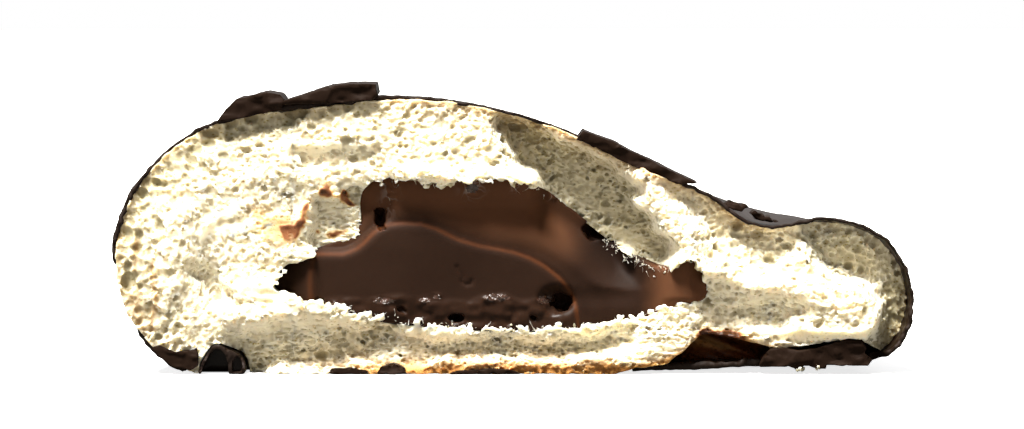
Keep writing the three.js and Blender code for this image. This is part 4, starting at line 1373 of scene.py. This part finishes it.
def plateSkin(plan, seed):
    # A snapped plate: its end face breaks in steps, its edges are chipped.
    outline = np.array(plan["outline"])
    step = plateMaking["voxel"]
    (x0, z0), (x1, z1) = outline.min(axis=0) - 0.6, outline.max(axis=0) + 0.6
    xs, zs = np.arange(x0, x1, step), np.arange(max(z0, 0.0), z1, step)
    ys = np.arange(plan["start"] - 0.8, plan["start"] + plan["length"] * 1.2 + 1, step)
    gx, gy, gz = np.meshgrid(xs, ys, zs, indexing="ij")
    at = np.stack([gx, gy, gz], axis=-1)
    rough = 0.07 * noiseAt(at, (1.4, 1.8, 0.8), seed) + 0.05 * noiseAt(at, 0.5, seed + 1)
    ring = sharpOutline(plan["outline"])
    side = distanceMap(ring, (xs, zs))[:, None, :] + rough
    flatAt = at * np.array([1, 0, 1])
    steps = 2.2 * noiseAt(flatAt, (2.4, 1, 0.9), seed + 2) + 0.5 * noiseAt(flatAt, 0.8, seed + 3)
    broken = (np.floor(steps) + smoothStep(0.55, 1, steps - np.floor(steps))) * 0.16
    frontEnd = gy - plan["start"] - 0.2 - broken - 0.05 * noiseAt(flatAt, 0.45, seed + 4)
    lengthAt = 3.0 * noiseAt(flatAt, (5.0, 1, 9.0), seed + 5) + 0.8 * noiseAt(flatAt, 1.3, seed + 6)
    backEnd = plan["start"] + plan["length"] * 0.9 + lengthAt - gy
    wave = noiseAt(at * np.array([0, 1, 0.3]), (1, 3.4, 3.0), seed + 7)
    wave = wave * smoothStep(0.5, 4, gy - plan["start"])
    middle = (outline[:, 0].min() + outline[:, 0].max()) / 2
    width = (outline[:, 0].max() - outline[:, 0].min()) / 2
    ends = width - np.abs(gx - middle) - np.clip(1.6 * wave, 0, 9) * np.where(gx > middle, 1, 0.6)
    field = np.minimum.reduce([side, frontEnd, backEnd, ends + 0.3, gz - 0.05 + 0 * gx])
    for name, reach in (("hollow", 3.4), ("cup", 1.3)):
        if name in plan:
            room = distanceMap(sharpOutline(plan[name]), (xs, zs))[:, None, :]
            field = np.minimum(field, np.maximum(-room, gy - plan["start"] - reach))
    draw = np.random.default_rng(seed)
    for cx, cz in ring[draw.integers(0, len(ring), plateMaking["chips"])]:
        cy = plan["start"] + abs(draw.normal(0, 0.3 * plan["length"]))
        size = draw.uniform(0.2, 0.5)
        far = np.abs(gx - cx) * 0.8 + np.abs(gy - cy) * 0.6 + np.abs(gz - cz)
        field = np.minimum(field, far - size)
    vertices, quads = surfaceNet(field.astype(np.float32), xs, ys, zs)
    return dropScraps(vertices, quads, 60)


for number, (name, plan) in enumerate(plates.items()):
    vertices, quads = plateSkin(plan, 60 + 5 * number)
    piece = makeMesh(name, vertices, quads)
    thinOut(piece, plateMaking["mostTriangles"])
    piece.data.set_sharp_from_angle(angle=math.radians(plateMaking["creaseAngle"]))
    p = points(piece)
    paint(piece, "broken", smoothStep(plan["start"] + 0.9, plan["start"] + 0.3, p[:, 1]))
    finish = chocolateFinish if "hollow" in plan else snappedFinish
    nodes = [plan["node"]] if "node" in plan else []
    finishPiece(piece, "chocolate", finish, *nodes)
print("plates ready")

# Torn threads and crumbs.

threads = {
    "lower": 210, "upper": 50, "right": 70,     # threads round the filling's edge
    "face": 420,            # threads on the open face
    "bits": 40,             # crumbs along the filling's edge
    # The threads and crumbs take this share of the crumb's painted shade tone.
    "depth": 0.85,          # how far they take the tone of the crumb's depths
    "mostForward": -2.2,
}


def strandMesh(starts, aims, lengths, widths, draw):
    # Thin bent three-sided threads that taper to a point, joined into one mesh.
    rings = 5
    vertices, faces = [], []
    for start, aim, long, wide in zip(starts, aims, lengths, widths):
        aim = aim / np.linalg.norm(aim)
        bend = draw.normal(0, 1.9, 3) * min(1, 0.7 / long)
        side = np.cross(aim, (0.3, 1.0, 0.2))
        side /= np.linalg.norm(side)
        up = np.cross(aim, side)
        first = len(vertices)
        for ring in range(rings):
            t = ring / (rings - 1)
            centre = start + aim * long * t + bend * long * 0.5 * t * t
            size = wide * (1 - 0.85 * t)
            for corner in range(3):
                turn = 2 * math.pi * corner / 3
                vertices.append(centre + size * (side * math.cos(turn) + up * math.sin(turn)))
        for ring in range(rings - 1):
            for corner in range(3):
                a = first + ring * 3 + corner
                b = first + ring * 3 + (corner + 1) % 3
                faces += [(a, b, b + 3), (a, b + 3, a + 3)]
        last = first + 3 * (rings - 1)
        faces += [(first, first + 2, first + 1), (last, last + 1, last + 2)]
    return np.array(vertices), np.array(faces)


def tornThreads():
    draw = np.random.default_rng(91)
    rim = closedCurve(filling["outline"], 2000)
    low = rim[(rim[:, 1] < 9.5) & (rim[:, 0] > -24) & (rim[:, 0] < 22)]
    high = rim[(rim[:, 1] > 19) & (rim[:, 0] > -16) & (rim[:, 0] < 4)]
    right = rim[(rim[:, 1] > 12) & (rim[:, 0] > 11) & (rim[:, 0] < 20)]
    starts, aims = [], []
    for spots, count, aim in (
        (low, threads["lower"], (0.6, -0.5, 0.5)), (high, threads["upper"], (0.2, -0.4, -0.6)),
        (right, threads["right"], (0.3, -0.3, -0.6)),
    ):
        chosen = spots[draw.integers(0, len(spots), count)] + draw.normal(0, 0.35, (count, 2))
        y = np.minimum(crumbFront(chosen[:, 0], chosen[:, 0] * 0, chosen[:, 1]), 0.7) + 0.15
        starts.append(np.column_stack([chosen[:, 0], y, chosen[:, 1]]))
        aims.append(np.array(aim) + draw.normal(0, 0.6, (count, 3)))
    x = draw.uniform(-48, 48, threads["face"] * 6)
    z = draw.uniform(0.6, 34, threads["face"] * 6)
    good = (sample(faceMap, x, z) > 1.3) & (sample(creamMap, x, z) < -0.3) & (sample(creaseMap, x, z) < -0.4)
    good &= draw.random(len(x)) < 0.25 + sample(threadMap, x, z)
    x, z = x[good][:threads["face"]], z[good][:threads["face"]]
    y = crumbFront(x, relief(x, z), z) + 0.12
    starts.append(np.column_stack([x, y, z]))
    aims.append(np.array((0.4, -0.7, 0.3)) + draw.normal(0, 0.6, (len(x), 3)))
    starts, aims = np.vstack(starts), np.vstack(aims)
    lengths = np.clip(np.exp(draw.normal(-1.3, 0.4, len(starts))), 0.12, 0.7)
    widths = draw.uniform(0.04, 0.09, len(starts))
    starts[:, 2] = np.maximum(starts[:, 2], 0.4)
    # Wisps drawn down over the filling: from x, z to x, z.
    wisps = np.array([
        (-16.0, 23.9, -15.3, 21.9), (-15.0, 24.2, -14.6, 22.5), (-15.5, 22.3, -14.7, 20.4),
        (-14.2, 23.8, -14.4, 22.8), (-9.6, 24.0, -9.3, 22.6), (-0.2, 24.2, 0.1, 22.9),
        (14.6, 15.0, 15.6, 14.2),
    ])
    front = creamFront(wisps[:, 0], wisps[:, 0] * 0, wisps[:, 1]) - 0.06
    starts = np.vstack([starts, np.column_stack([wisps[:, 0], front, wisps[:, 1]])])
    drop = np.column_stack([wisps[:, 2] - wisps[:, 0], 0 * front, wisps[:, 3] - wisps[:, 1]])
    aims = np.vstack([aims, drop])
    lengths = np.concatenate([lengths, np.linalg.norm(drop, axis=1)])
    widths = np.concatenate([widths, np.full(len(wisps), 0.07)])
    vertices, faces = strandMesh(starts, aims, lengths, widths, draw)
    vertices[:, 2] = np.maximum(vertices[:, 2], 0.05)
    vertices[:, 1] = np.maximum(vertices[:, 1], threads["mostForward"])
    return makeMesh("torn_threads", vertices, faces)


def bitMesh(centres, sizes, draw):
    # Little uneven lumps, each a pushed-about twenty-sided ball, joined into one mesh.
    golden = (1 + math.sqrt(5)) / 2
    ball = np.array([
        (a, b * golden, 0) for a in (-1, 1) for b in (-1, 1)
    ] + [
        (0, a, b * golden) for a in (-1, 1) for b in (-1, 1)
    ] + [
        (b * golden, 0, a) for a in (-1, 1) for b in (-1, 1)
    ]) / math.hypot(1, golden)
    near = np.linalg.norm(ball[:, None] - ball[None], axis=2) < 1.1
    faces = []
    for i in range(12):
        for j in range(i + 1, 12):
            for k in range(j + 1, 12):
                if near[i, j] and near[j, k] and near[i, k]:
                    outward = np.cross(ball[j] - ball[i], ball[k] - ball[i]) @ ball[i]
                    faces.append((i, j, k) if outward > 0 else (i, k, j))
    faces = np.array(faces)
    lumps = []
    for centre, size in zip(centres, sizes):
        lump = ball * draw.uniform(0.35, 1.5, (12, 1)) * draw.uniform(0.5, 1.6, 3)
        lumps.append(centre + lump * size)
    numbers = np.arange(len(lumps))[:, None, None] * 12
    return np.vstack(lumps), (faces[None] + numbers).reshape(-1, 3)


def looseCrumbs():
    # Crumbs stuck along the filling's edge and hanging below the chocolate plate.
    draw = np.random.default_rng(92)
    rim = closedCurve(filling["outline"], 2000)
    low = rim[(rim[:, 1] < 9.5) & (rim[:, 0] > -25) & (rim[:, 0] < 22)]
    high = rim[(rim[:, 1] > 12) & (rim[:, 0] > 12) & (rim[:, 0] < 20)]
    few = threads["bits"] // 5
    spots = np.vstack([
        low[draw.integers(0, len(low), threads["bits"])] + draw.normal(0, 0.4, (threads["bits"], 2)),
        high[draw.integers(0, len(high), few)] + draw.normal(0, 0.3, (few, 2)),
    ])
    front = creamFront(spots[:, 0], spots[:, 0] * 0, spots[:, 1])
    centres = np.column_stack([spots[:, 0], np.clip(front + 0.05, 0.3, 3.0), spots[:, 1]])
    sizes = np.clip(np.exp(draw.normal(-2.1, 0.45, len(centres))), 0.06, 0.2)
    hanging = []
    for x, z, wide, count in ((35.9, 0.75, 0.35, 9), (38.4, 0.9, 0.5, 6), (44.9, 4.3, 0.4, 8)):
        for _ in range(count):
            hanging.append((x + draw.normal(0, wide / 2), draw.uniform(-0.5, 0.6), z + draw.normal(0, 0.14)))
    centres = np.vstack([centres, hanging])
    sizes = np.concatenate([sizes, draw.uniform(0.12, 0.3, len(hanging))])
    return bitMesh(centres, sizes, draw)


threadPiece = tornThreads()
bitPiece = makeMesh("loose_crumbs", *looseCrumbs())
# Painted shade: threads and crumbs get no crust or stain, and most of the crumb's painted shade tone.
for piece in (threadPiece, bitPiece):
    for name, value in (("crust", 0.0), ("stain", 0.0), ("deep", threads["depth"])):
        paint(piece, name, np.full(len(piece.data.vertices), value))
    finishPiece(piece, "crumb", crumbFinish)
print("threads ready")

# Table, light and camera.


def stageFloor():
    size = 3000.0
    corners = np.array([(-size, -size, 0), (size, -size, 0), (size, size, 0), (-size, size, 0)])
    floor = makeMesh("table_top", corners - shift, np.array([[0, 1, 2, 3]]))
    m = newMaterial("paleTable")
    rays = addNode(m, "ShaderNodeLightPath").outputs["Is Camera Ray"]
    shade = addNode(
        m, "ShaderNodeMix", {"data_type": "RGBA"}, {0: rays, 6: colour("#6f6d69"), 7: colour("#f4f4f4")}
    ).outputs[2]
    glow = addNode(m, "ShaderNodeMath", {"operation": "MULTIPLY"}, {0: rays, 1: 0.78})
    finishMaterial(m, None, {
        "Base Color": shade, "Roughness": 0.9, "Specular IOR Level": 0.0,
        "Emission Color": colour("#ffffff"), "Emission Strength": glow.outputs[0],
    })
    floor.data.materials.append(m)


stageFloor()


lightPlan = {
    "keyLight": {"azimuth": -36, "elevation": 66, "spread": 20, "strength": 17.0, "tint": "#fffdf8"},
    "frontLight": {"azimuth": 14, "elevation": 16, "spread": 70, "strength": 0.26, "tint": "#ffffff"},
    "sideLight": {"azimuth": -72, "elevation": 28, "spread": 40, "strength": 0.5, "tint": "#ffffff"},
    "backLight": {"azimuth": 165, "elevation": 42, "spread": 40, "strength": 0.7, "tint": "#ffffff"},
}
for name, plan in lightPlan.items():
    lamp = bpy.data.lights.new(name, "SUN")
    lamp.angle = math.radians(plan["spread"])
    lamp.energy = plan["strength"]
    lamp.color = colour(plan["tint"])[:3]
    holder = bpy.data.objects.new(name, lamp)
    holder.rotation_euler = (math.radians(90 - plan["elevation"]), 0, math.radians(plan["azimuth"]))
    bpy.context.scene.collection.objects.link(holder)

# Strength of the studio's light from all round: what glosses mirror, what lights the bun, what is seen.
surround = {"mirrored": 0.32, "soft": 0.1, "seen": 1.0}
world = bpy.data.worlds.new("paleStudio")
bpy.context.scene.world = world
world.use_nodes = True
tree = world.node_tree
tree.nodes.clear()
paths = tree.nodes.new("ShaderNodeLightPath")
level = tree.nodes.new("ShaderNodeMapRange")
level.inputs["To Min"].default_value = surround["mirrored"]
level.inputs["To Max"].default_value = surround["soft"]
seen = tree.nodes.new("ShaderNodeMapRange")
seen.inputs["To Max"].default_value = surround["seen"]
background = tree.nodes.new("ShaderNodeBackground")
background.inputs["Color"].default_value = (1, 1, 1, 1)
tree.links.new(paths.outputs["Is Camera Ray"], seen.inputs["Value"])
tree.links.new(level.outputs[0], seen.inputs["To Min"])
output = tree.nodes.new("ShaderNodeOutputWorld")
tree.links.new(paths.outputs["Is Diffuse Ray"], level.inputs["Value"])
tree.links.new(seen.outputs[0], background.inputs["Strength"])
tree.links.new(background.outputs[0], output.inputs["Surface"])

view = {"distance": 600.0, "elevation": 3.0, "aimHeight": 20.06, "widthShown": 128.0}
camera = bpy.data.cameras.new("camera")
camera.sensor_width = 36.0
camera.lens = camera.sensor_width * view["distance"] / view["widthShown"]
eye = bpy.data.objects.new("camera", camera)
rise = math.radians(view["elevation"])
target = np.array([0.0, 0.0, view["aimHeight"]]) + shift
away = np.array([0.0, -math.cos(rise), math.sin(rise)]) * view["distance"]
eye.location = (target + away) * metre
eye.rotation_euler = (math.pi / 2 - rise, 0, 0)
camera.clip_start = 0.01
camera.clip_end = 20
bpy.context.scene.collection.objects.link(eye)
bpy.context.scene.camera = eye

look = bpy.context.scene.view_settings
look.view_transform = "Standard"
look.look = "None"
bpy.context.scene.cycles.use_denoising = True

print("scene ready")
